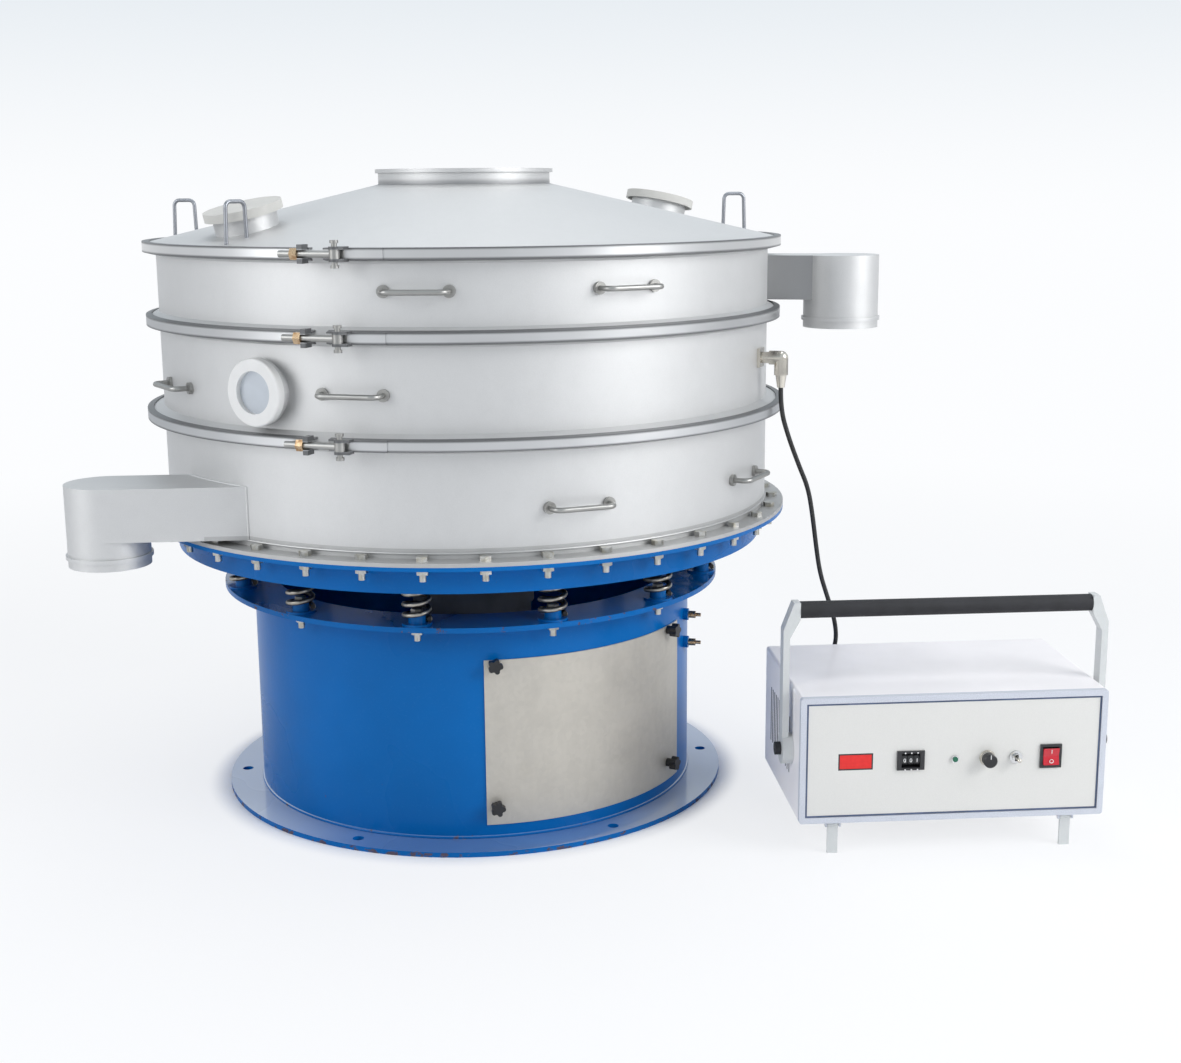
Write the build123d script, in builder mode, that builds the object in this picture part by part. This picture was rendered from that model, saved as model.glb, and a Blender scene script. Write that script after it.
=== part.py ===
from build123d import *
import os
from math import atan, cos, degrees, pi, radians, sin, sqrt

os.makedirs("parts", exist_ok=True)

# A round vibrating sieve with its ultrasonic generator, in millimetres.
# Z is up and the origin is on the sieve's axis at the floor. The front faces -Y.
# Azimuths run from the front, positive towards +X.

# Clearances and fasteners
fit_gap = 0.3
running_gap = 0.05
bolt_clearance = 0.5
bolt_radius = 5
hex_radius = 9.2
hex_height = 7
nut_height = 8
thread_stub = 10

# Drum
drum_radius = 371
drum_wall = 4
drum_height = 359
base_flange_radius = 427
base_flange_inner = 345
base_flange_thickness = 8
anchor_circle = 400
anchor_radius = 9
anchor_count = 6
anchor_azimuth = 32
top_flange_radius = 419
top_flange_inner = 335
top_flange_thickness = 8

# Access door, its knobs and the grease nipples
door_azimuth = 33
door_span = 62
door_bottom = 30
door_height = 265
door_thickness = 2
door_margin_angle = 9
door_margin_height = 52
knob_inset_left = 2.5
knob_inset_right = 6.5
knob_inset_low = 31
knob_inset_high = 6
knob_lobes = 5
knob_radius = 8.5
knob_lobe_circle = 7.8
knob_lobe_radius = 3.9
knob_thickness = 11
knob_hub_radius = 7
knob_hub_length = 8
stud_radius = 3
stud_reach = 5
stud_hole_radius = 6.5
nipple_azimuth = 72
nipple_heights = (244, 292)
nipple_boss_radius = 10
nipple_boss_length = 9
nipple_radius = 6
nipple_length = 11
nipple_tip_radius = 3
nipple_tip_length = 9

# Coil springs
spring_count = 12
spring_circle = 395
spring_azimuth = -12.5
spring_length = 100
coil_radius = 19
wire_radius = 4
coil_pitch = 17
seat_radius = 23
seat_thickness = 3
spigot_radius = 13
spigot_height = 14

# Vibration table
table_plate = 6
table_flange = 6
table_flange_reach = 31
table_skirt_inset = 10
table_skirt_wall = 5
table_skirt_drop = 42
table_hole_radius = 125
flange_bolt_count = 36
flange_bolt_reach = 12
flange_bolt_azimuth = 2

# Vibration motor
motor_flange_radius = 165
motor_flange_thickness = 12
motor_bolt_circle = 148
motor_bolt_count = 8
motor_radius = 105
motor_bore_radius = 58
motor_below = 165
motor_above = 55
end_plate = 12
guard_radius = 100
guard_wall = 3
guard_depth = 60
shaft_radius = 20
core_radius = 55
core_length = 120
weight_radius = 85
weight_thickness = 38
weight_hub_radius = 34
guard_gap = 8

# Sieve frames
shell_radius = 500
shell_wall = 3
bottom_frame_height = 171
middle_frame_height = 149
top_frame_height = 115
frame_flange = 6
lip_height = 14
lip_edge = 4
gasket_half = 1.5
screen_gasket_half = 3
gasket_inset = 1

# Clamp bands
lower_band_reach = 27
band_reach = 21
band_thickness = 2
band_half_height = 8
band_leg = 9
closure_azimuth = -23.2
closure_reach = 11
closure_half_gap = 11
pivot_offset = 34
pin_radius = 4
pin_half_height = 15
pin_head_radius = 6
pin_head_height = 4
lug_height = 4
lug_radius = 8
eye_radius = 7.5
eye_half_height = 6
swing_radius = 5
swing_length = 85
yoke_start = 12
yoke_thickness = 8
yoke_half_height = 13
yoke_reach = 7
nut_gap = 0.6
clamp_nut_length = 11
clamp_nut_radius = 9.2
strap_length = 56
strap_thickness = 3
strap_half_height = 8
strap_gap = 2

# Discharge dome, screen and transducer
dome_rim_height = 12
dome_slope = 0.26
dome_thickness = 3
screen_inset = 8
screen_rail = 20
screen_rail_height = 26
screen_lip = 1
mesh_thickness = 0.8
resonance_radius = 250
resonance_width = 12
resonance_height = 8
resonance_bars = 4
transducer_circle = 380
transducer_radius = 24
transducer_length = 62

# Outlets
outlet_reach = 130
outlet_wall = 3
bead_height = 6
bead_proud = 3
bead_lift = 12
fine_azimuth = -60
fine_heading = -90
fine_radius = 61
fine_half_width = 61
fine_low = 491
fine_high = 571
fine_spout_low = 447
coarse_azimuth = 88
coarse_heading = 72
coarse_radius = 62.5
coarse_half_width = 45
coarse_low = 811
coarse_high = 884
coarse_spout_low = 764
gusset_length = 70
gusset_height = 26

# Sight window
window_azimuth = -35.5
window_height = 716
window_radius = 49
window_bore = 31
window_stub_radius = 42
window_stand = 16
window_flange = 5
window_ring = 12
pane_radius = 37
pane_thickness = 4

# Lid
neck_radius = 141
neck_wall = 3
neck_top = 1029
cone_top = 1005
neck_flange = 5
neck_flange_thickness = 6
lid_wall = 3
port_places = ((-52, 88), (118, 115))
port_radius = 48
port_height = 32
port_flange_radius = 56
port_flange_thickness = 4
port_depth = 14
cap_wall = 3
cap_skirt = 10
loop_places = ((-100, 22), (-44, 25), (97, 38), (136, 25))
loop_half_width = 19
loop_top_half_width = 17
loop_height = 56
loop_rod = 3
loop_bend = 9

# Frame handles: azimuth and height of each
handle_places = (
    (-8, 860), (27, 860), (172, 860), (-153, 860),
    (-62, 706), (-19, 716), (118, 706), (161, 716),
    (18, 552), (59, 552), (-162, 552), (-121, 552),
)
handle_half_length = 46
handle_stand = 26
handle_rod = 4
handle_bend = 12
handle_pad_radius = 9
handle_pad_thickness = 3

# Cable connector and cable
connector_azimuth = 67.4
connector_height = 731
connector_hole = 12
connector_plate = 30
connector_plate_thickness = 5
connector_barrel = 9
connector_barrel_length = 12
connector_inside = 10
plug_radius = 11
plug_reach = 36
plug_drop = 27
boot_length = 20
boot_end_radius = 6
boot_start_radius = 8.8
cable_radius = 3.75
arc_share = 0.45
# Route of the cable behind its first straight: from the case's left, its back and the floor
cable_route = (
    (26, -22, 604),
    (46, -10, 556),
    (64, -3, 516),
    (73, 2, 470),
    (78, 9, 420),
    (82, 16, 370),
    (94, 25, 325),
    (110, 39, 280),
    (120, 60, 236),
    (114, 80, 192),
    (98, 88, 146),
    (85, 83, 106),
    (82, 56, 84),
    (82, 25, 84),
)
cable_drop = 34

# Ultrasonic generator
case_inset = 17
case_width = 470
case_front = -470
case_back = -180
case_bottom = 52
case_top = 250
case_wall = 2
bezel = 9
panel_recess = 2
panel_thickness = 3
gland_radius = 9
gland_length = 25
control_height = 148
display_offset = 85
display_width = 53
display_height = 26
thumb_offset = 169
thumb_width = 42
thumb_height = 30
thumb_wheels = 3
wheel_pitch = 9.5
wheel_width = 8.5
wheel_radius = 11
wheel_depth = 9
wheel_axle = 1.5
lamp_offset = 237
lamp_radius = 6
lamp_lens = 4
dial_offset = 287
dial_radius = 10.5
dial_length = 19
dial_shaft = 3
toggle_offset = 331
toggle_bush = 6
toggle_slot_margin = 1
toggle_nut = 10
toggle_reach = 15
toggle_rod = 2.5
toggle_tip = 3.5
rocker_offset = 385
rocker_width = 33
rocker_height = 37
rocker_rim = 4
rocker_proud = 3
rocker_gap = 1.3
fitting_proud = 3
fitting_depth = 24
leg_offset = 181
leg_width = 16
leg_thickness = 4
leg_pivot_drop = 5
leg_barrel = 4
leg_pin = 2
leg_setback = 12
ear_gap = 1
ear_thickness = 3
handle_pivot_setback = 70
handle_pivot_height = 150
arm_thickness = 10
arm_stand = 7
arm_depth = 24
arm_rise = 232
arm_shoulder = 190
hub_radius = 24
grip_radius = 13
grip_inset = 26
pivot_pin = 6
hub_cap_radius = 10
hub_cap_length = 9
board_margin = 60
board_lift = 10
transformer_size = 90

# Sizes that follow from the frames' radius
table_flange_radius = shell_radius + table_flange_reach
table_skirt_radius = shell_radius - table_skirt_inset
flange_bolt_circle = shell_radius + flange_bolt_reach
lower_band_radius = shell_radius + lower_band_reach
band_radius = shell_radius + band_reach
closure_radius = band_radius + closure_reach
screen_outer = shell_radius - screen_inset
outlet_circle = shell_radius + outlet_reach
case_left = shell_radius - case_inset
case_right = case_left + case_width
display_x = case_left + display_offset
thumb_x = case_left + thumb_offset
lamp_x = case_left + lamp_offset
dial_x = case_left + dial_offset
toggle_x = case_left + toggle_offset
rocker_x = case_left + rocker_offset

# Levels that follow from the sizes above
seat_top = drum_height + seat_thickness
plate_bottom = seat_top + spring_length + seat_thickness
plate_top = plate_bottom + table_plate
table_level = plate_top + table_flange
lower_joint = table_level + bottom_frame_height
middle_joint = lower_joint + middle_frame_height
upper_joint = middle_joint + top_frame_height
lip_radius = band_radius - band_thickness - fit_gap
lower_lip_radius = lower_band_radius - band_thickness - fit_gap
shell_inner = shell_radius - shell_wall
lid_slope = (cone_top - upper_joint - lip_edge) / (lip_radius - neck_radius)
case_x = (case_left + case_right) / 2
case_half = (case_right - case_left) / 2
panel_front = case_front + panel_recess
panel_back = panel_front + panel_thickness


def at(azimuth, height=0):
    """Place what is drawn at the front, turned to an azimuth and lifted."""
    return Location((0, 0, height), (0, 0, azimuth))


def outward(azimuth, radius):
    """A point of the plan at an azimuth and a radius."""
    return (radius * sin(radians(azimuth)), -radius * cos(radians(azimuth)))


def finish(builder, name):
    """Label a finished piece and write its file."""
    builder.part.label = name
    export_step(builder.part, f"parts/{name}.step")


def ring(outer, inner, low, high):
    """Add a round ring to the open part."""
    with BuildSketch(Plane.XY.offset(low)) as plan:
        Circle(outer)
        Circle(inner, mode=Mode.SUBTRACT)
    extrude(plan.sketch, amount=high - low)


def turned(points, mode=Mode.ADD):
    """Add the solid of revolution of a profile of radius and height."""
    with BuildSketch(Plane.XZ) as profile:
        with BuildLine():
            Polyline(*points, close=True)
        make_face()
    revolve(profile.sketch, axis=Axis.Z, mode=mode)


def fastener(head_low, nut_top, tip):
    """Return a bolt with its head at the top and its nut run on below."""
    with BuildPart() as bolt:
        with BuildSketch(Plane.XY.offset(head_low)):
            RegularPolygon(hex_radius, 6)
        extrude(amount=hex_height)
        with BuildSketch(Plane.XY.offset(tip)):
            Circle(bolt_radius)
        extrude(amount=head_low - tip)
        with BuildSketch(Plane.XY.offset(nut_top - nut_height)):
            RegularPolygon(hex_radius, 6)
        extrude(amount=nut_height)
    return bolt.part


def sector(radius, azimuth, span, mode):
    """Add the wedge of the plan round an azimuth to the open sketch."""
    near = outward(azimuth - span / 2, radius)
    middle = outward(azimuth, radius)
    far = outward(azimuth + span / 2, radius)
    with BuildLine() as outline:
        Polyline((0, 0), near, middle, far, close=True)
    make_face(outline.edges(), mode=mode)


def lid_height(radius):
    """Height of the lid's outer cone at a radius."""
    return upper_joint + lip_edge + (lip_radius - radius) * lid_slope


# Base flange with its anchor holes
with BuildPart() as base_flange:
    ring(base_flange_radius, base_flange_inner, 0, base_flange_thickness)
    with PolarLocations(anchor_circle, anchor_count, start_angle=anchor_azimuth - 90):
        Hole(anchor_radius)
finish(base_flange, "base_flange")

# Drum shell with the doorway, the stud holes and the nipple bosses
door_low_knob = door_bottom + knob_inset_low
door_high_knob = door_bottom + door_height - knob_inset_high
knob_left = door_azimuth - door_span / 2 + knob_inset_left
knob_right = door_azimuth + door_span / 2 - knob_inset_right
knob_places = [
    (azimuth, height)
    for height in (door_low_knob, door_high_knob)
    for azimuth in (knob_left, knob_right)
]
drum_low = base_flange_thickness
drum_high = drum_height - top_flange_thickness
doorway_low = door_bottom + door_margin_height
doorway_height = door_height - 1.5 * door_margin_height
with BuildPart() as drum_shell:
    ring(drum_radius, drum_radius - drum_wall, drum_low, drum_high)
    for nipple_height in nipple_heights:
        with Locations(at(nipple_azimuth, nipple_height)):
            with Locations((0, -drum_radius - nipple_boss_length / 2 + drum_wall / 2, 0)):
                Cylinder(
                    nipple_boss_radius,
                    nipple_boss_length + drum_wall / 2,
                    rotation=(90, 0, 0),
                )
    with BuildSketch(Plane.XY.offset(doorway_low)):
        sector(2 * drum_radius, door_azimuth, door_span - 2 * door_margin_angle, Mode.ADD)
        Circle(drum_radius / 2, mode=Mode.SUBTRACT)
    extrude(amount=doorway_height, mode=Mode.SUBTRACT)
    for knob_azimuth, knob_height in knob_places:
        with Locations(at(knob_azimuth, knob_height)):
            with Locations((0, -drum_radius, 0)):
                Cylinder(stud_hole_radius, 4 * drum_wall, rotation=(90, 0, 0), mode=Mode.SUBTRACT)
finish(drum_shell, "drum_shell")

# Drum top flange with its welded spring seats
with BuildPart() as drum_top_flange:
    ring(top_flange_radius, top_flange_inner, drum_high, drum_height)
    with BuildSketch(Plane.XY.offset(drum_height)):
        with PolarLocations(spring_circle, spring_count, start_angle=spring_azimuth - 90):
            Circle(seat_radius)
    extrude(amount=seat_thickness)
    with BuildSketch(Plane.XY.offset(seat_top)):
        with PolarLocations(spring_circle, spring_count, start_angle=spring_azimuth - 90):
            Circle(spigot_radius)
    extrude(amount=spigot_height)
    with PolarLocations(spring_circle, spring_count, start_angle=spring_azimuth - 90):
        Hole(bolt_radius + bolt_clearance)
finish(drum_top_flange, "drum_top_flange")

# Bolts of the lower spring seats, with their nuts under the flange
lower_bolt = fastener(seat_top + spigot_height, drum_high, drum_high - nut_height - thread_stub)
with BuildPart() as lower_spring_bolts:
    with PolarLocations(spring_circle, spring_count, start_angle=spring_azimuth - 90):
        add(lower_bolt)
finish(lower_spring_bolts, "lower_spring_bolts")

# Coil springs
with BuildPart() as spring:
    with BuildLine():
        coil = Helix(coil_pitch, spring_length - 2 * wire_radius, coil_radius)
    with BuildSketch(Plane(origin=coil @ 0, z_dir=coil % 0)):
        Circle(wire_radius)
    sweep(is_frenet=True)
with BuildPart() as coil_springs:
    with Locations((0, 0, seat_top + wire_radius)):
        with PolarLocations(spring_circle, spring_count, start_angle=spring_azimuth - 90):
            add(spring.part)
finish(coil_springs, "coil_springs")

# Grease nipples
with BuildPart() as nipple:
    with Locations((0, -drum_radius - nipple_boss_length - nipple_length / 2, 0)):
        Cylinder(nipple_radius, nipple_length, rotation=(90, 0, 0))
    tip_centre = -drum_radius - nipple_boss_length - nipple_length - nipple_tip_length / 2
    with Locations((0, tip_centre, 0)):
        Cylinder(nipple_tip_radius, nipple_tip_length, rotation=(90, 0, 0))
with BuildPart() as grease_nipples:
    for nipple_height in nipple_heights:
        with Locations(at(nipple_azimuth, nipple_height)):
            add(nipple.part)
finish(grease_nipples, "grease_nipples")

# Access door, a rolled sheet over the doorway
door_inner = drum_radius + fit_gap
door_outer = door_inner + door_thickness
with BuildPart() as access_door:
    with BuildSketch(Plane.XY.offset(door_bottom)):
        Circle(door_outer)
        Circle(door_inner, mode=Mode.SUBTRACT)
        sector(2 * door_outer, door_azimuth, door_span, Mode.INTERSECT)
    extrude(amount=door_height)
    for knob_azimuth, knob_height in knob_places:
        with Locations(at(knob_azimuth, knob_height)):
            with Locations((0, -door_outer, 0)):
                Cylinder(
                    stud_radius + running_gap,
                    8 * door_thickness,
                    rotation=(90, 0, 0),
                    mode=Mode.SUBTRACT,
                )
finish(access_door, "access_door")

# Star knobs with their studs
knob_face = door_outer + fit_gap
front = Plane(origin=(0, 0, 0), x_dir=(1, 0, 0), z_dir=(0, -1, 0))
with BuildPart() as star_knob:
    with BuildSketch(front.offset(door_outer - door_thickness - stud_reach)):
        Circle(stud_radius)
    extrude(amount=door_thickness + stud_reach + fit_gap)
    with BuildSketch(front.offset(knob_face)):
        Circle(knob_hub_radius)
    extrude(amount=knob_hub_length)
    with BuildSketch(front.offset(knob_face + knob_hub_length)):
        Circle(knob_radius)
        with PolarLocations(knob_lobe_circle, knob_lobes):
            Circle(knob_lobe_radius)
    extrude(amount=knob_thickness)
for knob_number, (knob_azimuth, knob_height) in enumerate(knob_places, start=1):
    with BuildPart() as door_knob:
        with Locations(at(knob_azimuth, knob_height)):
            add(star_knob.part)
    finish(door_knob, f"door_knob_{knob_number}")

# Vibration table: plate, skirt, flange and welded upper spring seats
skirt_inner = table_skirt_radius - table_skirt_wall
with BuildPart() as vibration_table:
    turned([
        (table_hole_radius, plate_bottom),
        (skirt_inner, plate_bottom),
        (skirt_inner, plate_top - table_skirt_drop),
        (table_skirt_radius, plate_top - table_skirt_drop),
        (table_skirt_radius, plate_top),
        (table_flange_radius, plate_top),
        (table_flange_radius, table_level),
        (skirt_inner, table_level),
        (skirt_inner, plate_top),
        (table_hole_radius, plate_top),
    ])
    with BuildSketch(Plane.XY.offset(plate_bottom - seat_thickness)):
        with PolarLocations(spring_circle, spring_count, start_angle=spring_azimuth - 90):
            Circle(seat_radius)
    extrude(amount=seat_thickness)
    with BuildSketch(Plane.XY.offset(plate_bottom - seat_thickness - spigot_height)):
        with PolarLocations(spring_circle, spring_count, start_angle=spring_azimuth - 90):
            Circle(spigot_radius)
    extrude(amount=spigot_height)
    with PolarLocations(spring_circle, spring_count, start_angle=spring_azimuth - 90):
        Hole(bolt_radius + bolt_clearance)
    with PolarLocations(motor_bolt_circle, motor_bolt_count):
        Hole(bolt_radius + bolt_clearance)
    with PolarLocations(flange_bolt_circle, flange_bolt_count, start_angle=flange_bolt_azimuth - 90):
        Hole(bolt_radius + bolt_clearance)
finish(vibration_table, "vibration_table")

# Bolts of the upper spring seats and of the motor
spigot_end = plate_bottom - seat_thickness - spigot_height
with BuildPart() as seat_bolt:
    with BuildSketch(Plane.XY.offset(spigot_end - hex_height)):
        RegularPolygon(hex_radius, 6)
    extrude(amount=hex_height)
    with BuildSketch(Plane.XY.offset(spigot_end)):
        Circle(bolt_radius)
    extrude(amount=plate_top + nut_height - spigot_end)
    with BuildSketch(Plane.XY.offset(plate_top)):
        RegularPolygon(hex_radius, 6)
    extrude(amount=nut_height)
motor_nut_top = plate_bottom - motor_flange_thickness
motor_bolt = fastener(plate_top, motor_nut_top, motor_nut_top - nut_height - thread_stub)
with BuildPart() as table_bolts:
    with PolarLocations(spring_circle, spring_count, start_angle=spring_azimuth - 90):
        add(seat_bolt.part)
    with PolarLocations(motor_bolt_circle, motor_bolt_count):
        add(motor_bolt)
finish(table_bolts, "table_bolts")

# Vibration motor housing with its flange and end guards
motor_low = plate_bottom - motor_below
motor_high = plate_bottom + motor_above
guard_low = motor_low - guard_depth
guard_high = motor_high + guard_depth
guard_inner = guard_radius - guard_wall
bore = shaft_radius + running_gap
with BuildPart() as motor_housing:
    turned([
        (0, guard_low),
        (guard_radius, guard_low),
        (guard_radius, motor_low),
        (motor_radius, motor_low),
        (motor_radius, motor_nut_top),
        (motor_flange_radius, motor_nut_top),
        (motor_flange_radius, plate_bottom),
        (motor_radius, plate_bottom),
        (motor_radius, motor_high),
        (guard_radius, motor_high),
        (guard_radius, guard_high),
        (0, guard_high),
    ])
    turned([
        (0, guard_low + guard_wall),
        (guard_inner, guard_low + guard_wall),
        (guard_inner, motor_low),
        (bore, motor_low),
        (bore, motor_low + end_plate),
        (motor_bore_radius, motor_low + end_plate),
        (motor_bore_radius, motor_high - end_plate),
        (bore, motor_high - end_plate),
        (bore, motor_high),
        (guard_inner, motor_high),
        (guard_inner, guard_high - guard_wall),
        (0, guard_high - guard_wall),
    ], mode=Mode.SUBTRACT)
    with PolarLocations(motor_bolt_circle, motor_bolt_count):
        Hole(bolt_radius + bolt_clearance)
finish(motor_housing, "motor_housing")

# Motor shaft with its rotor core
shaft_low = guard_low + guard_wall + fit_gap
shaft_high = guard_high - guard_wall - guard_gap / 2
core_low = (motor_low + motor_high - core_length) / 2
with BuildPart() as motor_shaft:
    with BuildSketch(Plane.XY.offset(shaft_low)):
        Circle(shaft_radius)
    extrude(amount=shaft_high - shaft_low)
    with BuildSketch(Plane.XY.offset(core_low)):
        Circle(core_radius)
    extrude(amount=core_length)
finish(motor_shaft, "motor_shaft")

# Eccentric weights on the shaft's ends
for weight_name, weight_low, weight_bore in (
    ("upper_weight", motor_high + guard_gap, shaft_radius),
    ("lower_weight", motor_low - guard_gap - weight_thickness, bore),
):
    with BuildPart() as weight:
        with BuildSketch(Plane.XY.offset(weight_low)):
            Circle(weight_radius)
            with Locations((0, weight_radius)):
                Rectangle(2 * weight_radius, 2 * weight_radius, mode=Mode.SUBTRACT)
            Circle(weight_hub_radius)
            Circle(weight_bore, mode=Mode.SUBTRACT)
        extrude(amount=weight_thickness)
    finish(weight, weight_name)


def flare(radius, joint, side, half_gap):
    """Profile of the V lip that ends a frame at a joint, below (-1) or above (1) it."""
    return [
        (shell_inner, joint + side * half_gap),
        (radius, joint + side * half_gap),
        (radius, joint + side * lip_edge),
        (shell_radius, joint + side * lip_height),
        (shell_inner, joint + side * lip_height),
    ]


def duct_plan(azimuth, heading, radius, half_width, inset):
    """Add the plan of a duct and its round spout to the open sketch."""
    centre = outward(azimuth, outlet_circle)
    along = outward(heading, 1)
    run = outlet_circle
    middle = (centre[0] - along[0] * run / 2, centre[1] - along[1] * run / 2)
    with Locations(Location((*centre, 0))):
        Circle(radius - inset)
    with Locations(Location((*middle, 0), (0, 0, heading - 90))):
        Rectangle(run, 2 * (half_width - inset))


def duct_cut(azimuth, heading, radius, half_width, low, high):
    """Cut a duct's way through the wall of the open frame."""
    centre = outward(azimuth, outlet_circle)
    along = outward(heading, 1)
    run = outlet_circle - shell_radius + shell_radius / 2
    middle = (centre[0] - along[0] * run / 2, centre[1] - along[1] * run / 2)
    with BuildSketch(Plane.XY.offset(low + outlet_wall)) as way:
        with Locations(Location((*middle, 0), (0, 0, heading - 90))):
            Rectangle(run, 2 * (half_width - outlet_wall))
    extrude(way.sketch, amount=high - low - 2 * outlet_wall, mode=Mode.SUBTRACT)


def make_outlet(azimuth, heading, radius, half_width, low, high, spout_low, gusset):
    """Return a welded outlet: a flat duct that ends in a round spout."""
    centre = outward(azimuth, outlet_circle)
    with BuildPart() as outlet:
        with BuildSketch(Plane.XY.offset(low)):
            duct_plan(azimuth, heading, radius, half_width, 0)
        extrude(amount=high - low)
        with BuildSketch(Plane.XY.offset(spout_low)):
            with Locations(Location((*centre, 0))):
                Circle(radius)
        extrude(amount=high - spout_low)
        with BuildSketch(Plane.XY.offset(spout_low + bead_lift)):
            with Locations(Location((*centre, 0))):
                Circle(radius + bead_proud)
        extrude(amount=bead_height)
        if gusset:
            across = outward(heading - 90, half_width - outlet_wall)
            along = outward(heading, 1)
            root = (
                centre[0] + across[0] - along[0] * outlet_circle / 6,
                centre[1] + across[1] - along[1] * outlet_circle / 6,
            )
            start = Plane(
                origin=(root[0], root[1], high),
                x_dir=(-along[0], -along[1], 0),
                z_dir=(across[0], across[1], 0),
            )
            with BuildSketch(start):
                with BuildLine():
                    Polyline((-gusset_length, 0), (0, gusset_height), (gusset_length, gusset_height),
                             (gusset_length, 0), close=True)
                make_face()
            extrude(amount=outlet_wall)
        with BuildSketch(Plane.XY.offset(low + outlet_wall)):
            duct_plan(azimuth, heading, radius, half_width, outlet_wall)
        extrude(amount=high - low - 2 * outlet_wall, mode=Mode.SUBTRACT)
        with BuildSketch(Plane.XY.offset(spout_low)):
            with Locations(Location((*centre, 0))):
                Circle(radius - outlet_wall)
        extrude(amount=high - outlet_wall - spout_low, mode=Mode.SUBTRACT)
        with BuildSketch(Plane.XY.offset(spout_low)):
            Circle(shell_radius)
        extrude(amount=high + gusset_height - spout_low, mode=Mode.SUBTRACT)
    return outlet


# Bottom frame with its bolted flange
bottom_low = table_level
with BuildPart() as bottom_frame:
    ring(table_flange_radius, shell_inner, bottom_low, bottom_low + frame_flange)
    ring(shell_radius, shell_inner, bottom_low, lower_joint - lip_height)
    turned(flare(lower_lip_radius, lower_joint, -1, gasket_half))
    with PolarLocations(flange_bolt_circle, flange_bolt_count, start_angle=flange_bolt_azimuth - 90):
        Hole(bolt_radius + bolt_clearance)
    duct_cut(fine_azimuth, fine_heading, fine_radius, fine_half_width, fine_low, fine_high)
finish(bottom_frame, "bottom_frame")
fine_outlet = make_outlet(
    fine_azimuth, fine_heading, fine_radius, fine_half_width, fine_low, fine_high, fine_spout_low, True
)
finish(fine_outlet, "fine_outlet")

# Discharge dome over the motor
dome_low = table_level + dome_rim_height
dome_rise = shell_inner * dome_slope
with BuildPart() as discharge_dome:
    turned([
        (0, dome_low + dome_rise),
        (shell_inner, dome_low),
        (shell_inner, dome_low + dome_thickness),
        (0, dome_low + dome_rise + dome_thickness),
    ])
finish(discharge_dome, "discharge_dome")

# Bolts that join the frames to the table
flange_bolt = fastener(table_level + frame_flange, plate_top, plate_top - nut_height - thread_stub)
with BuildPart() as flange_bolts:
    with PolarLocations(flange_bolt_circle, flange_bolt_count, start_angle=flange_bolt_azimuth - 90):
        add(flange_bolt)
finish(flange_bolts, "flange_bolts")

# Middle frame with the sight window's neck and the connector's hole
window_base = shell_radius + window_stand
with BuildPart() as middle_frame:
    ring(shell_radius, shell_inner, lower_joint + lip_height, middle_joint - lip_height)
    turned(flare(lower_lip_radius, lower_joint, 1, gasket_half))
    turned(flare(lip_radius, middle_joint, -1, screen_gasket_half))
    with Locations(at(window_azimuth, window_height)):
        with Locations((0, -shell_radius - window_stand / 2 + shell_wall / 2, 0)):
            Cylinder(window_stub_radius, window_stand + shell_wall, rotation=(90, 0, 0))
        with Locations((0, -window_base + window_flange / 2, 0)):
            Cylinder(window_radius, window_flange, rotation=(90, 0, 0))
        with Locations((0, -shell_radius, 0)):
            Cylinder(window_bore, 6 * window_stand, rotation=(90, 0, 0), mode=Mode.SUBTRACT)
    with BuildSketch(Plane.XY.offset(window_height - window_radius)):
        Circle(shell_inner)
    extrude(amount=2 * window_radius, mode=Mode.SUBTRACT)
    with Locations(at(connector_azimuth, connector_height)):
        with Locations((0, -shell_radius, 0)):
            Cylinder(connector_hole + fit_gap, 6 * shell_wall, rotation=(90, 0, 0), mode=Mode.SUBTRACT)
finish(middle_frame, "middle_frame")

# Sight window's ring and pane
with BuildPart() as sight_ring:
    with BuildSketch(front.offset(window_base)):
        Circle(window_radius)
        Circle(window_bore, mode=Mode.SUBTRACT)
    extrude(amount=window_ring)
    with BuildSketch(front.offset(window_base)):
        Circle(pane_radius + fit_gap)
    extrude(amount=pane_thickness, mode=Mode.SUBTRACT)
    fillet(sight_ring.faces().sort_by(Axis.Y)[0].outer_wire().edges(), window_ring / 4)
with BuildPart() as sight_pane:
    with BuildSketch(front.offset(window_base)):
        Circle(pane_radius)
    extrude(amount=pane_thickness)
for piece, name in ((sight_ring, "sight_ring"), (sight_pane, "sight_pane")):
    with BuildPart() as placed:
        with Locations(at(window_azimuth, window_height)):
            add(piece.part)
    finish(placed, name)

# Top frame and its outlet
with BuildPart() as top_frame:
    ring(shell_radius, shell_inner, middle_joint + lip_height, upper_joint - lip_height)
    turned(flare(lip_radius, middle_joint, 1, screen_gasket_half))
    turned(flare(lip_radius, upper_joint, -1, gasket_half))
    duct_cut(coarse_azimuth, coarse_heading, coarse_radius, coarse_half_width, coarse_low, coarse_high)
finish(top_frame, "top_frame")
coarse_outlet = make_outlet(
    coarse_azimuth, coarse_heading, coarse_radius, coarse_half_width, coarse_low, coarse_high,
    coarse_spout_low, False,
)
finish(coarse_outlet, "coarse_outlet")

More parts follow.
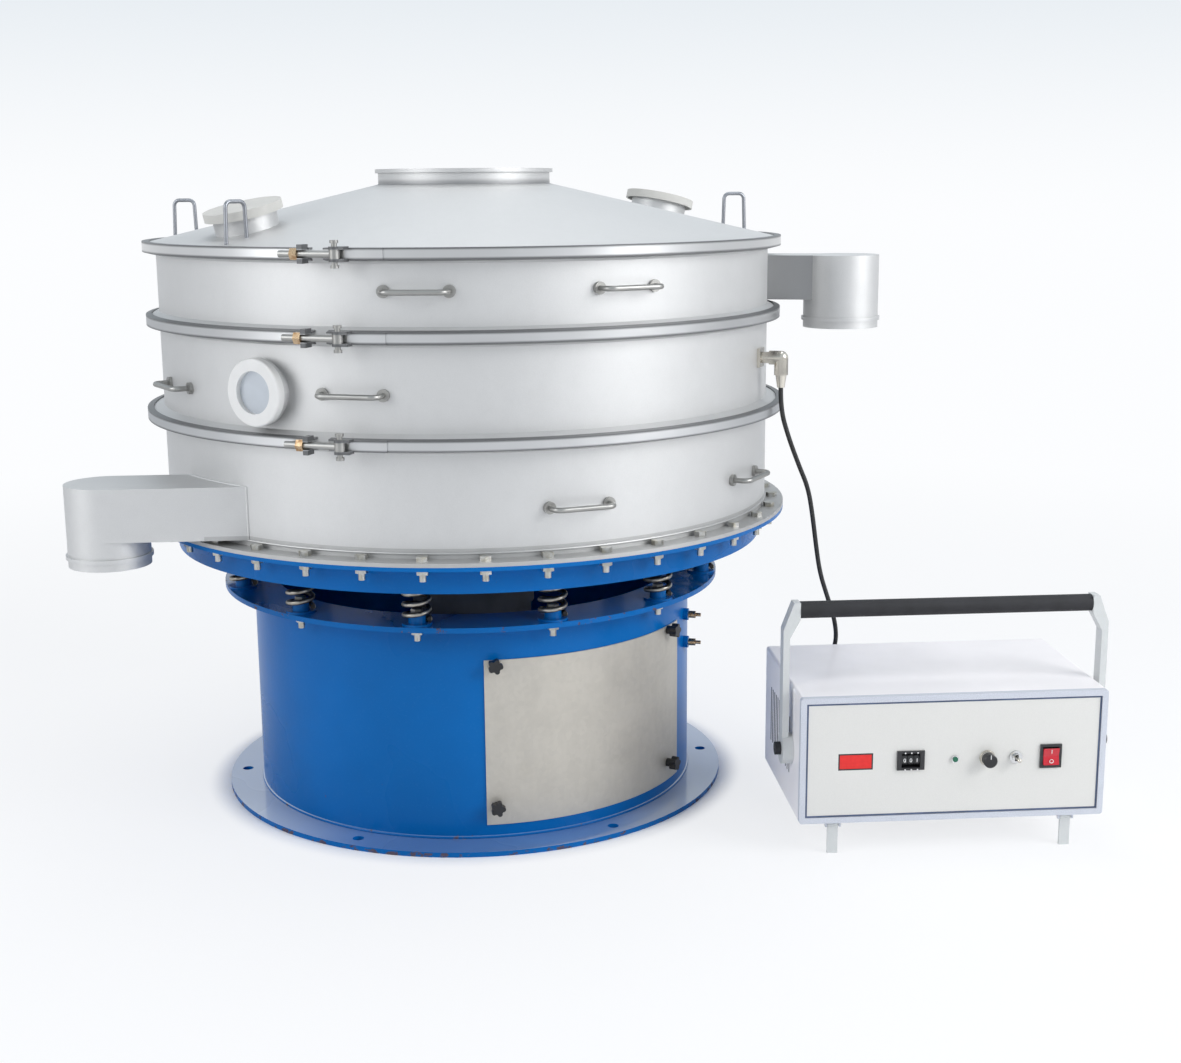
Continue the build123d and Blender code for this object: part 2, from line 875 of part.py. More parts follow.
# Gaskets of the three joints
gasket_outer = lip_radius - gasket_inset
with BuildPart() as gaskets:
    ring(lower_lip_radius - gasket_inset, shell_inner, lower_joint - gasket_half, lower_joint + gasket_half)
    ring(gasket_outer, shell_inner, upper_joint - gasket_half, upper_joint + gasket_half)
    turned([
        (shell_inner, middle_joint - screen_gasket_half),
        (gasket_outer, middle_joint - screen_gasket_half),
        (gasket_outer, middle_joint + screen_gasket_half),
        (shell_inner, middle_joint + screen_gasket_half),
        (shell_inner, middle_joint + screen_lip),
        (gasket_outer - screen_gasket_half, middle_joint + screen_lip),
        (gasket_outer - screen_gasket_half, middle_joint - screen_lip),
        (shell_inner, middle_joint - screen_lip),
    ])
finish(gaskets, "gaskets")

# Screen ring, mesh and transducer
rail_inner = screen_outer - screen_rail
lip_tip = gasket_outer - screen_gasket_half
with BuildPart() as screen_ring:
    turned([
        (rail_inner, middle_joint - screen_rail_height),
        (screen_outer, middle_joint - screen_rail_height),
        (screen_outer, middle_joint - screen_lip),
        (lip_tip, middle_joint - screen_lip),
        (lip_tip, middle_joint + screen_lip),
        (rail_inner, middle_joint + screen_lip),
    ])
finish(screen_ring, "screen_ring")
with BuildPart() as screen_mesh:
    with BuildSketch(Plane.XY.offset(middle_joint + screen_lip)):
        Circle(screen_outer)
    extrude(amount=mesh_thickness)
finish(screen_mesh, "screen_mesh")
resonance_low = middle_joint + screen_lip - resonance_height
bar_middle = (resonance_radius - resonance_width / 2 + rail_inner) / 2
with BuildPart() as transducer:
    with BuildSketch(Plane.XY.offset(resonance_low)):
        with PolarLocations(bar_middle, resonance_bars, connector_azimuth - 90):
            Rectangle(2 * (rail_inner - bar_middle), resonance_width)
        Circle(rail_inner, mode=Mode.INTERSECT)
        Circle(resonance_radius)
        Circle(resonance_radius - resonance_width, mode=Mode.SUBTRACT)
    extrude(amount=resonance_height)
    with BuildSketch(Plane.XY.offset(resonance_low - transducer_length)):
        with Locations(Location((*outward(connector_azimuth, transducer_circle), 0))):
            Circle(transducer_radius)
    extrude(amount=transducer_length)
finish(transducer, "transducer")

# Lid with its feed neck and two inspection ports
neck_inner = neck_radius - neck_wall
port_tilt = degrees(atan(lid_slope))
with BuildPart() as under_lid:
    turned([
        (0, upper_joint),
        (lip_radius, upper_joint),
        (lip_radius, lid_height(lip_radius)),
        (0, lid_height(0)),
    ])


def port_plane(azimuth, inset):
    """Plane on the lid's cone, square to it, at an inset from the frames' radius."""
    radius = shell_radius - inset
    point = outward(azimuth, radius)
    lean = outward(azimuth, sin(radians(port_tilt)))
    return Plane(
        origin=(*point, lid_height(radius)),
        x_dir=(cos(radians(azimuth)), sin(radians(azimuth)), 0),
        z_dir=(*lean, cos(radians(port_tilt))),
    )


with BuildPart() as lid:
    turned([
        (shell_inner, upper_joint + gasket_half),
        (lip_radius, upper_joint + gasket_half),
        (lip_radius, upper_joint + lip_edge),
        (neck_radius, cone_top),
        (neck_radius, neck_top - neck_flange_thickness),
        (neck_radius + neck_flange, neck_top - neck_flange_thickness),
        (neck_radius + neck_flange, neck_top),
        (neck_inner, neck_top),
        (neck_inner, lid_height(neck_inner) - lid_wall),
        (shell_inner, lid_height(shell_inner) - lid_wall),
    ])
    for place in port_places:
        with BuildSketch(port_plane(*place).offset(-port_depth)):
            Circle(port_radius)
        extrude(amount=port_depth + port_height)
        with BuildSketch(port_plane(*place).offset(port_height - port_flange_thickness)):
            Circle(port_flange_radius)
        extrude(amount=port_flange_thickness)
        with BuildSketch(port_plane(*place).offset(-2 * port_depth)):
            Circle(port_radius - lid_wall)
        extrude(amount=4 * port_height, mode=Mode.SUBTRACT)
finish(lid, "lid")

# Pull-off caps of the ports
cap_inner = port_flange_radius + fit_gap
for name, place in zip(("port_cap_left", "port_cap_right"), port_places):
    with BuildPart() as port_cap:
        with BuildSketch(port_plane(*place).offset(port_height - cap_skirt)):
            Circle(cap_inner + cap_wall)
        extrude(amount=cap_skirt + cap_wall)
        with BuildSketch(port_plane(*place).offset(port_height - cap_skirt)):
            Circle(cap_inner)
        extrude(amount=cap_skirt, mode=Mode.SUBTRACT)
    finish(port_cap, name)

# Lifting loops on the lid
with BuildPart() as lifting_loops:
    for loop_azimuth, loop_inset in loop_places:
        loop_radius = shell_radius - loop_inset
        foot = lid_height(loop_radius)
        side = Plane(
            origin=(*outward(loop_azimuth, loop_radius), foot),
            x_dir=(*outward(loop_azimuth, 1), 0),
            z_dir=(-cos(radians(loop_azimuth)), -sin(radians(loop_azimuth)), 0),
        )
        with BuildLine(side) as loop_path:
            FilletPolyline(
                (-loop_half_width, -loop_bend),
                (-loop_top_half_width, loop_height),
                (loop_top_half_width, loop_height),
                (loop_half_width, -loop_bend),
                radius=loop_bend,
            )
        with BuildSketch(Plane(origin=loop_path.line @ 0, z_dir=loop_path.line % 0)):
            Circle(loop_rod)
        sweep(path=loop_path.line)
    add(under_lid.part, mode=Mode.SUBTRACT)
finish(lifting_loops, "lifting_loops")

# Handles of the frames
with BuildPart() as frame_handle:
    with BuildLine() as handle_path:
        FilletPolyline(
            (-handle_half_length, -shell_radius + handle_bend),
            (-handle_half_length, -shell_radius - handle_stand),
            (handle_half_length, -shell_radius - handle_stand),
            (handle_half_length, -shell_radius + handle_bend),
            radius=handle_bend,
        )
    with BuildSketch(Plane(origin=handle_path.line @ 0, z_dir=handle_path.line % 0)):
        Circle(handle_rod)
    sweep(path=handle_path.line)
    with Locations(
        (-handle_half_length, -shell_radius, 0),
        (handle_half_length, -shell_radius, 0),
    ):
        Cylinder(handle_pad_radius, 2 * handle_pad_thickness, rotation=(90, 0, 0))
    Cylinder(shell_radius, 4 * handle_pad_radius, mode=Mode.SUBTRACT)
with BuildPart() as frame_handles:
    for place in handle_places:
        with Locations(at(*place)):
            add(frame_handle.part)
finish(frame_handles, "frame_handles")


def leg_profile(radius, joint, side, slope_run, slope_rise):
    """Points of a band's leg on a lip, from the band inwards, below (-1) or above (1)."""
    length = sqrt(slope_run ** 2 + slope_rise ** 2)
    back = (-slope_run / length, slope_rise / length)
    away = (slope_rise / length, slope_run / length)
    start = (radius - band_thickness - fit_gap + fit_gap * away[0], lip_edge + fit_gap * away[1])
    inner = (start[0] + band_leg * back[0], start[1] + band_leg * back[1])
    outer = (inner[0] + band_thickness * away[0], inner[1] + band_thickness * away[1])
    corner = (radius, max(band_half_height, start[1] + band_thickness))
    points = [corner, outer, inner, start, (radius - band_thickness, lip_edge)]
    return [(x, joint + side * z) for x, z in points]


# Clamp bands with their yoke, lug and strap
lip_run = lip_radius - shell_radius
lip_rise = lip_height - lip_edge
lid_rise = lip_run * lid_slope
clamp_joints = (
    ("lower", lower_joint, lower_band_radius, lip_rise),
    ("middle", middle_joint, band_radius, lip_rise),
    ("upper", upper_joint, band_radius, lid_rise),
)
bolt_slot = swing_radius + bolt_clearance
yoke_face = -yoke_start - yoke_thickness
strap_start = pivot_offset + lug_radius + strap_gap
half_gap_angle = degrees(closure_half_gap / closure_radius)


def clamp_line(radius):
    """Radius of the swing bolt's line for a band."""
    return closure_radius + radius - band_radius


clamp_pieces = []
for clamp_name, joint, radius, rise in clamp_joints:
    line = clamp_line(radius)
    run = radius - band_thickness - fit_gap - shell_radius
    yoke_x = yoke_face + yoke_thickness / 2
    with BuildPart() as band:
        turned(leg_profile(radius, joint, 1, run, rise)
               + leg_profile(radius, joint, -1, run, lip_rise)[::-1])
        with BuildSketch(Plane.XY.offset(joint - lip_height)):
            sector(2 * radius, closure_azimuth, 2 * half_gap_angle, Mode.ADD)
            Circle(radius / 2, mode=Mode.SUBTRACT)
        extrude(amount=2 * lip_height, mode=Mode.SUBTRACT)
    with BuildPart() as closure:
        with Locations((yoke_x, -line + yoke_reach / 2, 0)):
            Box(yoke_thickness, 3 * yoke_reach, 2 * yoke_half_height)
        with Locations((yoke_x, -line - yoke_reach, 0)):
            Box(2 * yoke_thickness, 2 * (yoke_reach + bolt_slot), 2 * bolt_slot, mode=Mode.SUBTRACT)
        for side in (-1, 1):
            lug_centre = side * (eye_half_height + fit_gap + lug_height / 2)
            with Locations((pivot_offset, -line, lug_centre)):
                Cylinder(lug_radius, lug_height)
            with Locations((pivot_offset + lug_radius, -line + lug_radius / 2, lug_centre)):
                Box(2 * lug_radius, 2 * lug_radius, lug_height)
            with Locations((pivot_offset, -line, lug_centre)):
                Cylinder(pin_radius + running_gap, lug_height, mode=Mode.SUBTRACT)
        Cylinder(radius, 4 * yoke_half_height, mode=Mode.SUBTRACT)
    with BuildPart() as strap:
        ring(radius + strap_thickness, radius, -strap_half_height, strap_half_height)
        with BuildSketch(Plane.XY.offset(-strap_half_height)):
            sector(
                2 * radius,
                degrees((strap_start + strap_length / 2) / line),
                degrees(strap_length / line),
                Mode.ADD,
            )
        extrude(amount=2 * strap_half_height, mode=Mode.INTERSECT)
    with BuildPart() as clamp:
        add(band.part)
        with Locations(at(closure_azimuth, joint)):
            add(closure.part)
            add(strap.part)
    clamp_pieces.append(clamp.part)
with BuildPart() as clamp_bands:
    add(clamp_pieces)
finish(clamp_bands, "clamp_bands")

# Pins that the swing bolts turn on
with BuildPart() as clamp_pin:
    Cylinder(pin_radius, 2 * pin_half_height)
    for side in (-1, 1):
        with Locations((0, 0, side * (pin_half_height + pin_head_height / 2))):
            Cylinder(pin_head_radius, pin_head_height)
with BuildPart() as clamp_pins:
    for clamp_name, joint, radius, rise in clamp_joints:
        with Locations(at(closure_azimuth, joint)):
            with Locations((pivot_offset, -clamp_line(radius), 0)):
                add(clamp_pin.part)
finish(clamp_pins, "clamp_pins")

# Swing bolts and their nuts
nut_face = yoke_face - nut_gap
for clamp_name, joint, radius, rise in clamp_joints:
    line = clamp_line(radius)
    with BuildPart() as swing:
        with Locations((pivot_offset - swing_length / 2, -line, 0)):
            Cylinder(swing_radius, swing_length, rotation=(0, 90, 0))
        with Locations((pivot_offset, -line, 0)):
            Cylinder(eye_radius, 2 * eye_half_height)
            Cylinder(pin_radius + running_gap, 2 * eye_half_height, mode=Mode.SUBTRACT)
    with BuildPart() as swing_bolt:
        with Locations(at(closure_azimuth, joint)):
            add(swing.part)
    finish(swing_bolt, f"swing_bolt_{clamp_name}")
    with BuildPart() as nut:
        with BuildSketch(Plane(origin=(nut_face, -line, 0), x_dir=(0, 1, 0), z_dir=(-1, 0, 0))):
            RegularPolygon(clamp_nut_radius, 6)
            Circle(swing_radius + running_gap, mode=Mode.SUBTRACT)
        extrude(amount=clamp_nut_length)
    with BuildPart() as clamp_nut:
        with Locations(at(closure_azimuth, joint)):
            add(nut.part)
    finish(clamp_nut, f"clamp_nut_{clamp_name}")

# Connector on the middle frame
plate_face = shell_radius + connector_plate_thickness
with BuildPart() as socket_piece:
    with Locations((0, -shell_radius - connector_plate_thickness / 2, 0)):
        Box(connector_plate, connector_plate_thickness, connector_plate)
    with BuildSketch(front.offset(plate_face)):
        Circle(connector_barrel)
    extrude(amount=connector_barrel_length)
    with BuildSketch(front.offset(shell_inner - connector_inside)):
        Circle(connector_hole)
    extrude(amount=plate_face - shell_inner + connector_inside)
with BuildPart() as cable_socket:
    with Locations(at(connector_azimuth, connector_height)):
        add(socket_piece.part)
finish(cable_socket, "cable_socket")

# Right-angled plug with its boot
plug_start = plate_face + connector_barrel_length
plug_line = -shell_radius - plug_reach
boot_low = -plug_drop - boot_length
with BuildPart() as plug_piece:
    with BuildSketch(front.offset(plug_start)):
        Circle(plug_radius)
    extrude(amount=-plug_line - plug_start)
    with Locations((0, plug_line, 0)):
        Sphere(plug_radius)
    with BuildSketch(Plane(origin=(0, plug_line, -plug_drop))):
        Circle(plug_radius)
    extrude(amount=plug_drop)
    with BuildSketch(Plane(origin=(0, plug_line, boot_low))):
        Circle(boot_end_radius)
    with BuildSketch(Plane(origin=(0, plug_line, -plug_drop))):
        Circle(boot_start_radius)
    loft()
with BuildPart() as cable_plug:
    with Locations(at(connector_azimuth, connector_height)):
        add(plug_piece.part)
finish(cable_plug, "cable_plug")

# Ultrasonic cable: straight runs joined by tangent arcs
cable_top = connector_height + boot_low
plug_place = outward(connector_azimuth, -plug_line)
route = [Vector(*plug_place, cable_top), Vector(*plug_place, cable_top - cable_drop)]
route += [Vector(case_left + x, case_back + y, z) for x, y, z in cable_route]
runs = [after - before for before, after in zip(route, route[1:])]
radii = [
    arc_share * min(first.length, second.length) / sin(radians(first.get_angle(second) / 2))
    * cos(radians(first.get_angle(second) / 2))
    for first, second in zip(runs, runs[1:])
]
print("cable radii", [round(radius, 1) for radius in radii])
with BuildPart() as ultrasonic_cable:
    with BuildLine() as cable_path:
        FilletPolyline(*route, radius=radii)
    with BuildSketch(Plane(origin=cable_path.line @ 0, z_dir=cable_path.line % 0)):
        Circle(cable_radius)
    sweep(path=cable_path.line)
cable_length = sum(edge.length for edge in cable_path.line.edges())
print("cable length", round(cable_length, 1))
print("cable volume ratio", round(ultrasonic_cable.part.volume / (cable_length * pi * cable_radius ** 2), 4))
finish(ultrasonic_cable, "ultrasonic_cable")

# Generator case: shell with bezel, rear gland, rear legs and leg ears
case_depth = case_back - case_front
case_height = case_top - case_bottom
case_y = (case_front + case_back) / 2
case_z = (case_bottom + case_top) / 2
leg_y = case_front + leg_setback
leg_z = case_bottom - leg_pivot_drop
pivot_y = case_front + handle_pivot_setback
gland = route[-1]
with BuildPart() as generator_case:
    with Locations((case_x, case_y, case_z)):
        Box(2 * case_half, case_depth, case_height)
        Box(
            2 * (case_half - case_wall),
            case_depth - 2 * case_wall,
            case_height - 2 * case_wall,
            mode=Mode.SUBTRACT,
        )
    fillet(generator_case.edges().filter_by(Axis.Y).group_by(Axis.X)[0], bezel / 2)
    fillet(generator_case.edges().filter_by(Axis.Y).group_by(Axis.X)[-1], bezel / 2)
    with Locations((case_x, case_front, case_z)):
        Box(
            2 * (case_half - bezel),
            4 * (panel_recess + panel_thickness),
            case_height - 2 * bezel,
            mode=Mode.SUBTRACT,
        )
    with Locations((gland.X, case_back + gland_length / 2, gland.Z)):
        Cylinder(gland_radius, gland_length, rotation=(90, 0, 0))
    for side in (-1, 1):
        leg_x = case_x + side * leg_offset
        with Locations((leg_x, case_back - leg_setback, case_bottom / 2)):
            Box(leg_width, leg_thickness, case_bottom)
        for ear_side in (-1, 1):
            ear_x = leg_x + ear_side * (leg_width / 2 + ear_gap + ear_thickness / 2)
            with Locations((ear_x, leg_y, case_bottom - leg_pivot_drop / 2 - leg_barrel / 2)):
                Box(ear_thickness, 2 * leg_barrel, leg_pivot_drop + leg_barrel)
        with Locations((leg_x, leg_y, leg_z)):
            Cylinder(leg_pin, leg_width + 2 * (ear_gap + ear_thickness), rotation=(0, 90, 0))
        with Locations((case_x + side * case_half, pivot_y, handle_pivot_height)):
            Cylinder(pivot_pin + running_gap, 4 * case_wall, rotation=(0, 90, 0), mode=Mode.SUBTRACT)
finish(generator_case, "generator_case")

# Folding front legs
for side, name in ((-1, "left_leg"), (1, "right_leg")):
    with BuildPart() as leg:
        with Locations((case_x + side * leg_offset, leg_y, leg_z / 2)):
            Box(leg_width, leg_thickness, leg_z)
        with Locations((case_x + side * leg_offset, leg_y, leg_z)):
            Cylinder(leg_barrel, leg_width, rotation=(0, 90, 0))
            Cylinder(leg_pin + running_gap, leg_width, rotation=(0, 90, 0), mode=Mode.SUBTRACT)
    finish(leg, name)

# Circuit board and transformer inside the case
with BuildPart() as generator_electronics:
    with Locations((case_x, case_y, case_bottom + case_wall + board_lift / 2)):
        Box(2 * case_half - 2 * board_margin, case_depth - 2 * board_margin, board_lift)
    with Locations((case_x + board_margin, case_y, case_bottom + case_wall + board_lift)):
        Box(
            transformer_size,
            transformer_size,
            transformer_size,
            align=(Align.CENTER, Align.CENTER, Align.MIN),
        )
finish(generator_electronics, "generator_electronics")

# Front panel with its cut-outs
panel_y = (panel_front + panel_back) / 2
cut_depth = 4 * panel_thickness
with BuildPart() as front_panel:
    with Locations((case_x, panel_y, case_z)):
        Box(2 * (case_half - bezel), panel_thickness, case_height - 2 * bezel)
    with Locations((display_x, panel_y, control_height)):
        Box(display_width, cut_depth, display_height, mode=Mode.SUBTRACT)
    with Locations((thumb_x, panel_y, control_height)):
        Box(thumb_width, cut_depth, thumb_height, mode=Mode.SUBTRACT)
    with Locations((rocker_x, panel_y, control_height)):
        Box(rocker_width, cut_depth, rocker_height, mode=Mode.SUBTRACT)
    with Locations((lamp_x, panel_y, control_height)):
        Cylinder(lamp_lens, cut_depth, rotation=(90, 0, 0), mode=Mode.SUBTRACT)
    with Locations((dial_x, panel_y, control_height)):
        Cylinder(dial_shaft + running_gap, cut_depth, rotation=(90, 0, 0), mode=Mode.SUBTRACT)
    with Locations((toggle_x, panel_y, control_height)):
        Cylinder(toggle_bush, cut_depth, rotation=(90, 0, 0), mode=Mode.SUBTRACT)
finish(front_panel, "front_panel")

# Fittings in the panel: display, wheel housing, lamp, toggle bush and rocker frame
fitting_y = panel_front - fitting_proud + (fitting_proud + fitting_depth) / 2
wheel_y = panel_front - fitting_proud + wheel_depth + fitting_proud
pocket_width = thumb_wheels * wheel_pitch
pocket_height = 2 * (wheel_radius + fit_gap)
rocker_inner = rocker_width - 2 * rocker_rim
rocker_tall = rocker_height - 2 * rocker_rim
with BuildPart() as panel_fittings:
    with Locations((display_x, panel_front + panel_thickness / 2, control_height)):
        Box(display_width, panel_thickness, display_height)
    with Locations((thumb_x, fitting_y, control_height)):
        Box(thumb_width, fitting_proud + fitting_depth, thumb_height)
    with Locations((thumb_x, fitting_y - case_wall, control_height)):
        Box(pocket_width, fitting_proud + fitting_depth, pocket_height, mode=Mode.SUBTRACT)
    with Locations((thumb_x, wheel_y, control_height)):
        Cylinder(wheel_axle, thumb_width, rotation=(0, 90, 0))
    with Locations((lamp_x, panel_front - fitting_proud / 2, control_height)):
        Cylinder(lamp_radius, fitting_proud, rotation=(90, 0, 0))
    with Locations((lamp_x, panel_front, control_height)):
        Cylinder(lamp_lens, 2 * panel_thickness + fitting_proud, rotation=(90, 0, 0))
    with Locations((toggle_x, panel_front - fitting_proud / 2, control_height)):
        Cylinder(toggle_nut, fitting_proud, rotation=(90, 0, 0))
    with Locations((toggle_x, panel_front, control_height)):
        Cylinder(toggle_bush, 2 * (fitting_proud + panel_thickness), rotation=(90, 0, 0))
    with Locations((toggle_x, panel_front - fitting_proud, control_height)):
        Box(
            2 * (toggle_rod + fit_gap),
            4 * fitting_proud,
            2 * (toggle_bush - toggle_slot_margin),
            mode=Mode.SUBTRACT,
        )
    with Locations((rocker_x, fitting_y, control_height)):
        Box(rocker_width, fitting_proud + fitting_depth, rocker_height)
        Box(rocker_inner, fitting_proud + fitting_depth, rocker_tall, mode=Mode.SUBTRACT)
finish(panel_fittings, "panel_fittings")

# Thumbwheels
for number in range(thumb_wheels):
    wheel_x = thumb_x + (number - (thumb_wheels - 1) / 2) * wheel_pitch
    with BuildPart() as thumbwheel:
        with Locations((wheel_x, wheel_y, control_height)):
            Cylinder(wheel_radius, wheel_width, rotation=(0, 90, 0))
            Cylinder(wheel_axle + running_gap, wheel_width, rotation=(0, 90, 0), mode=Mode.SUBTRACT)
    finish(thumbwheel, f"thumbwheel_{number + 1}")

# Power dial
dial_back = panel_front - fit_gap
with BuildPart() as power_dial:
    with Locations((dial_x, dial_back - dial_length / 2, control_height)):
        Cylinder(dial_radius, dial_length, rotation=(90, 0, 0))
    chamfer(power_dial.edges().sort_by(Axis.Y)[0], dial_radius / 8)
    with Locations((dial_x, dial_back + 2 * panel_thickness, control_height)):
        Cylinder(dial_shaft, 4 * panel_thickness, rotation=(90, 0, 0))
finish(power_dial, "power_dial")

# Toggle lever
toggle_y = panel_front - fitting_proud
with BuildPart() as toggle_lever:
    with Locations((toggle_x, toggle_y - toggle_reach / 2, control_height)):
        Cylinder(toggle_rod, toggle_reach, rotation=(90, 0, 0))
    with Locations((toggle_x, toggle_y - toggle_reach, control_height)):
        Sphere(toggle_tip)
    with Locations((toggle_x, toggle_y, control_height)):
        Sphere(toggle_rod)
finish(toggle_lever, "toggle_lever")

# Rocker button, a shallow V that tips about its middle
rocker_y = panel_front + fitting_proud
rocker_half = rocker_tall / 2 - rocker_gap
with BuildPart() as rocker_button:
    with BuildSketch(Plane.YZ.offset(rocker_x - rocker_inner / 2 + bolt_clearance)):
        with BuildLine():
            Polyline(
                (panel_front - rocker_proud - fitting_proud, control_height - rocker_half),
                (panel_front - rocker_proud, control_height),
                (panel_front - rocker_proud - fitting_proud, control_height + rocker_half),
                (rocker_y + fitting_proud, control_height + rocker_half - 2 * fitting_proud),
                (rocker_y + fitting_proud, control_height - rocker_half + 2 * fitting_proud),
                close=True,
            )
        make_face()
    extrude(amount=rocker_inner - 2 * bolt_clearance)
finish(rocker_button, "rocker_button")

# Carrying handle: two arms with hubs and pivot pins
arm_inner = case_half + arm_stand
arm_outer = arm_inner + arm_thickness
grip_half = case_half - grip_inset / 3
grip_z = arm_rise - grip_radius
with BuildPart() as carry_handle:
    with BuildSketch(Plane.XZ.offset(-pivot_y - arm_depth / 2)):
        for side in (-1, 1):
            with BuildLine():
                Polyline(
                    (case_x + side * arm_inner, handle_pivot_height),
                    (case_x + side * arm_outer, handle_pivot_height),
                    (case_x + side * arm_outer, handle_pivot_height + arm_shoulder),
                    (case_x + side * (grip_half + arm_thickness), handle_pivot_height + arm_rise),
                    (case_x + side * grip_half, handle_pivot_height + arm_rise),
                    (case_x + side * grip_half, handle_pivot_height + arm_rise - 2 * grip_radius),
                    (case_x + side * arm_inner, handle_pivot_height + arm_shoulder - grip_radius),
                    close=True,
                )
            make_face()
    extrude(amount=arm_depth)
    for side in (-1, 1):
        hub_length = arm_outer - case_half - fit_gap
        with Locations((case_x + side * (arm_outer - hub_length / 2), pivot_y, handle_pivot_height)):
            Cylinder(hub_radius, hub_length, rotation=(0, 90, 0))
        with Locations((case_x + side * case_half, pivot_y, handle_pivot_height)):
            Cylinder(pivot_pin, 4 * case_wall, rotation=(0, 90, 0))
finish(carry_handle, "carry_handle")

# Black grip and hub caps
with BuildPart() as handle_grip:
    with Locations((case_x, pivot_y, handle_pivot_height + grip_z)):
        Cylinder(grip_radius, 2 * grip_half, rotation=(0, 90, 0))
    for side in (-1, 1):
        with Locations((case_x + side * (arm_outer + hub_cap_length / 2), pivot_y, handle_pivot_height)):
            Cylinder(hub_cap_radius, hub_cap_length, rotation=(0, 90, 0))
finish(handle_grip, "handle_grip")
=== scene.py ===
"""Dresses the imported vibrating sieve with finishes, springs, cable, welds and panel details."""
from math import cos, radians, sin, sqrt

import bmesh
import bpy
from mathutils import Matrix, Vector


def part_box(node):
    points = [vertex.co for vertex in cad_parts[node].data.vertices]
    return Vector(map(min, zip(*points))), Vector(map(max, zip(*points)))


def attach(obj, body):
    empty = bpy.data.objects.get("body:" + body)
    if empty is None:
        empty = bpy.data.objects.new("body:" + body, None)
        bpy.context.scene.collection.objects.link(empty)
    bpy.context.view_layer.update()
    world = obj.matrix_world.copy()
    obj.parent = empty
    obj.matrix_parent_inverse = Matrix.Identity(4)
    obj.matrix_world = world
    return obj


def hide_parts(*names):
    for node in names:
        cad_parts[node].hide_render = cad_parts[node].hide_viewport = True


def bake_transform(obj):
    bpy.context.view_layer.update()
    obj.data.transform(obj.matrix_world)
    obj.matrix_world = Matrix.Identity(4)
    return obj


bl_info = {
    "name": "Vibrating sieve",
    "version": (1, 0, 0),
    "blender": (4, 5, 0),
    "location": "View3D > Sidebar > Sieve",
    "description": "Builds the finishes and small pieces of a vibrating sieve round its packed frame",
    "category": "Object",
}

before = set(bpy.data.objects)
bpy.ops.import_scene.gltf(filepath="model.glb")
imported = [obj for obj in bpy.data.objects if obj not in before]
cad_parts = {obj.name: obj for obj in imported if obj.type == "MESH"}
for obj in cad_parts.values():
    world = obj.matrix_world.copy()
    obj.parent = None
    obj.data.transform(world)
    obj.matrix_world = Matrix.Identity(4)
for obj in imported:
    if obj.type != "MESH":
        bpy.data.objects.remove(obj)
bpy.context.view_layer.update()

# Levels and radii on the frame, in metres
SPRING_LOW = 0.362
SPRING_HIGH = 0.462
SPRING_RING = 0.395
SPRING_TURN = -12.5
SPRING_COUNT = 12
SHELL = 0.500
LOWER_JOINT = 0.648
MIDDLE_JOINT = 0.797
UPPER_JOINT = 0.912
FRAME_FOOT = 0.4905
NECK_RADIUS = 0.1405
NECK_FOOT = 1.0035
DRUM_RADIUS = 0.3707
DRUM_FOOT = 0.0095
DRUM_TOP = 0.3495
UP = Vector((0, 0, 1))

# Places on the generator, in metres
CASE_FRONT = -0.460
PANEL_FRONT = -0.468
DIAL_COLLAR = -0.4745
WHEEL_FRONT = -0.4701
CONTROL_HEIGHT = 0.148
DISPLAY_X = 0.568
WHEELS_X = 0.652
WHEEL_PITCH = 0.0095
LAMP_X = 0.720
SWITCH_X = 0.814
ROCKER_X = 0.868
CASE_SIDES = (0.483, 0.953)
CASE_BACK = -0.180
# The vent slots: how many, where the first one stands and how far apart they are
SIDE_VENTS = (12, -0.385, 0.014)
BACK_VENTS = (14, 0.76, 0.012)

# How far out the outlets' mouths stand, and their ducts: azimuth, heading, half width, lowest
# and highest level
DUCT_MOUTH = 0.630
DUCTS = (
    (-60, -90, 0.061, 0.491, 0.571),
    (88, 72, 0.045, 0.811, 0.884),
)

CAMERA_PLACE = (0, -2.8005, 1.0012)
CAMERA_LENS = 50.45
# The two colour inputs and the colour output of a colour Mix node
MIX_FIRST, MIX_SECOND, MIX_RESULT = 6, 7, 2

# From the plug, down past the frames and round to the gland at the generator's back
CABLE_ROUTE = (
    (0.49484, -0.20599, 0.684),
    (0.49484, -0.20599, 0.650),
    (0.509, -0.202, 0.604),
    (0.529, -0.190, 0.556),
    (0.547, -0.183, 0.516),
    (0.556, -0.178, 0.470),
    (0.564, -0.171, 0.420),
    (0.573, -0.164, 0.370),
    (0.589, -0.155, 0.325),
    (0.606, -0.141, 0.280),
    (0.614, -0.120, 0.236),
    (0.604, -0.100, 0.192),
    (0.584, -0.092, 0.146),
    (0.568, -0.097, 0.106),
    (0.565, -0.124, 0.084),
    (0.565, -0.155, 0.084),
)


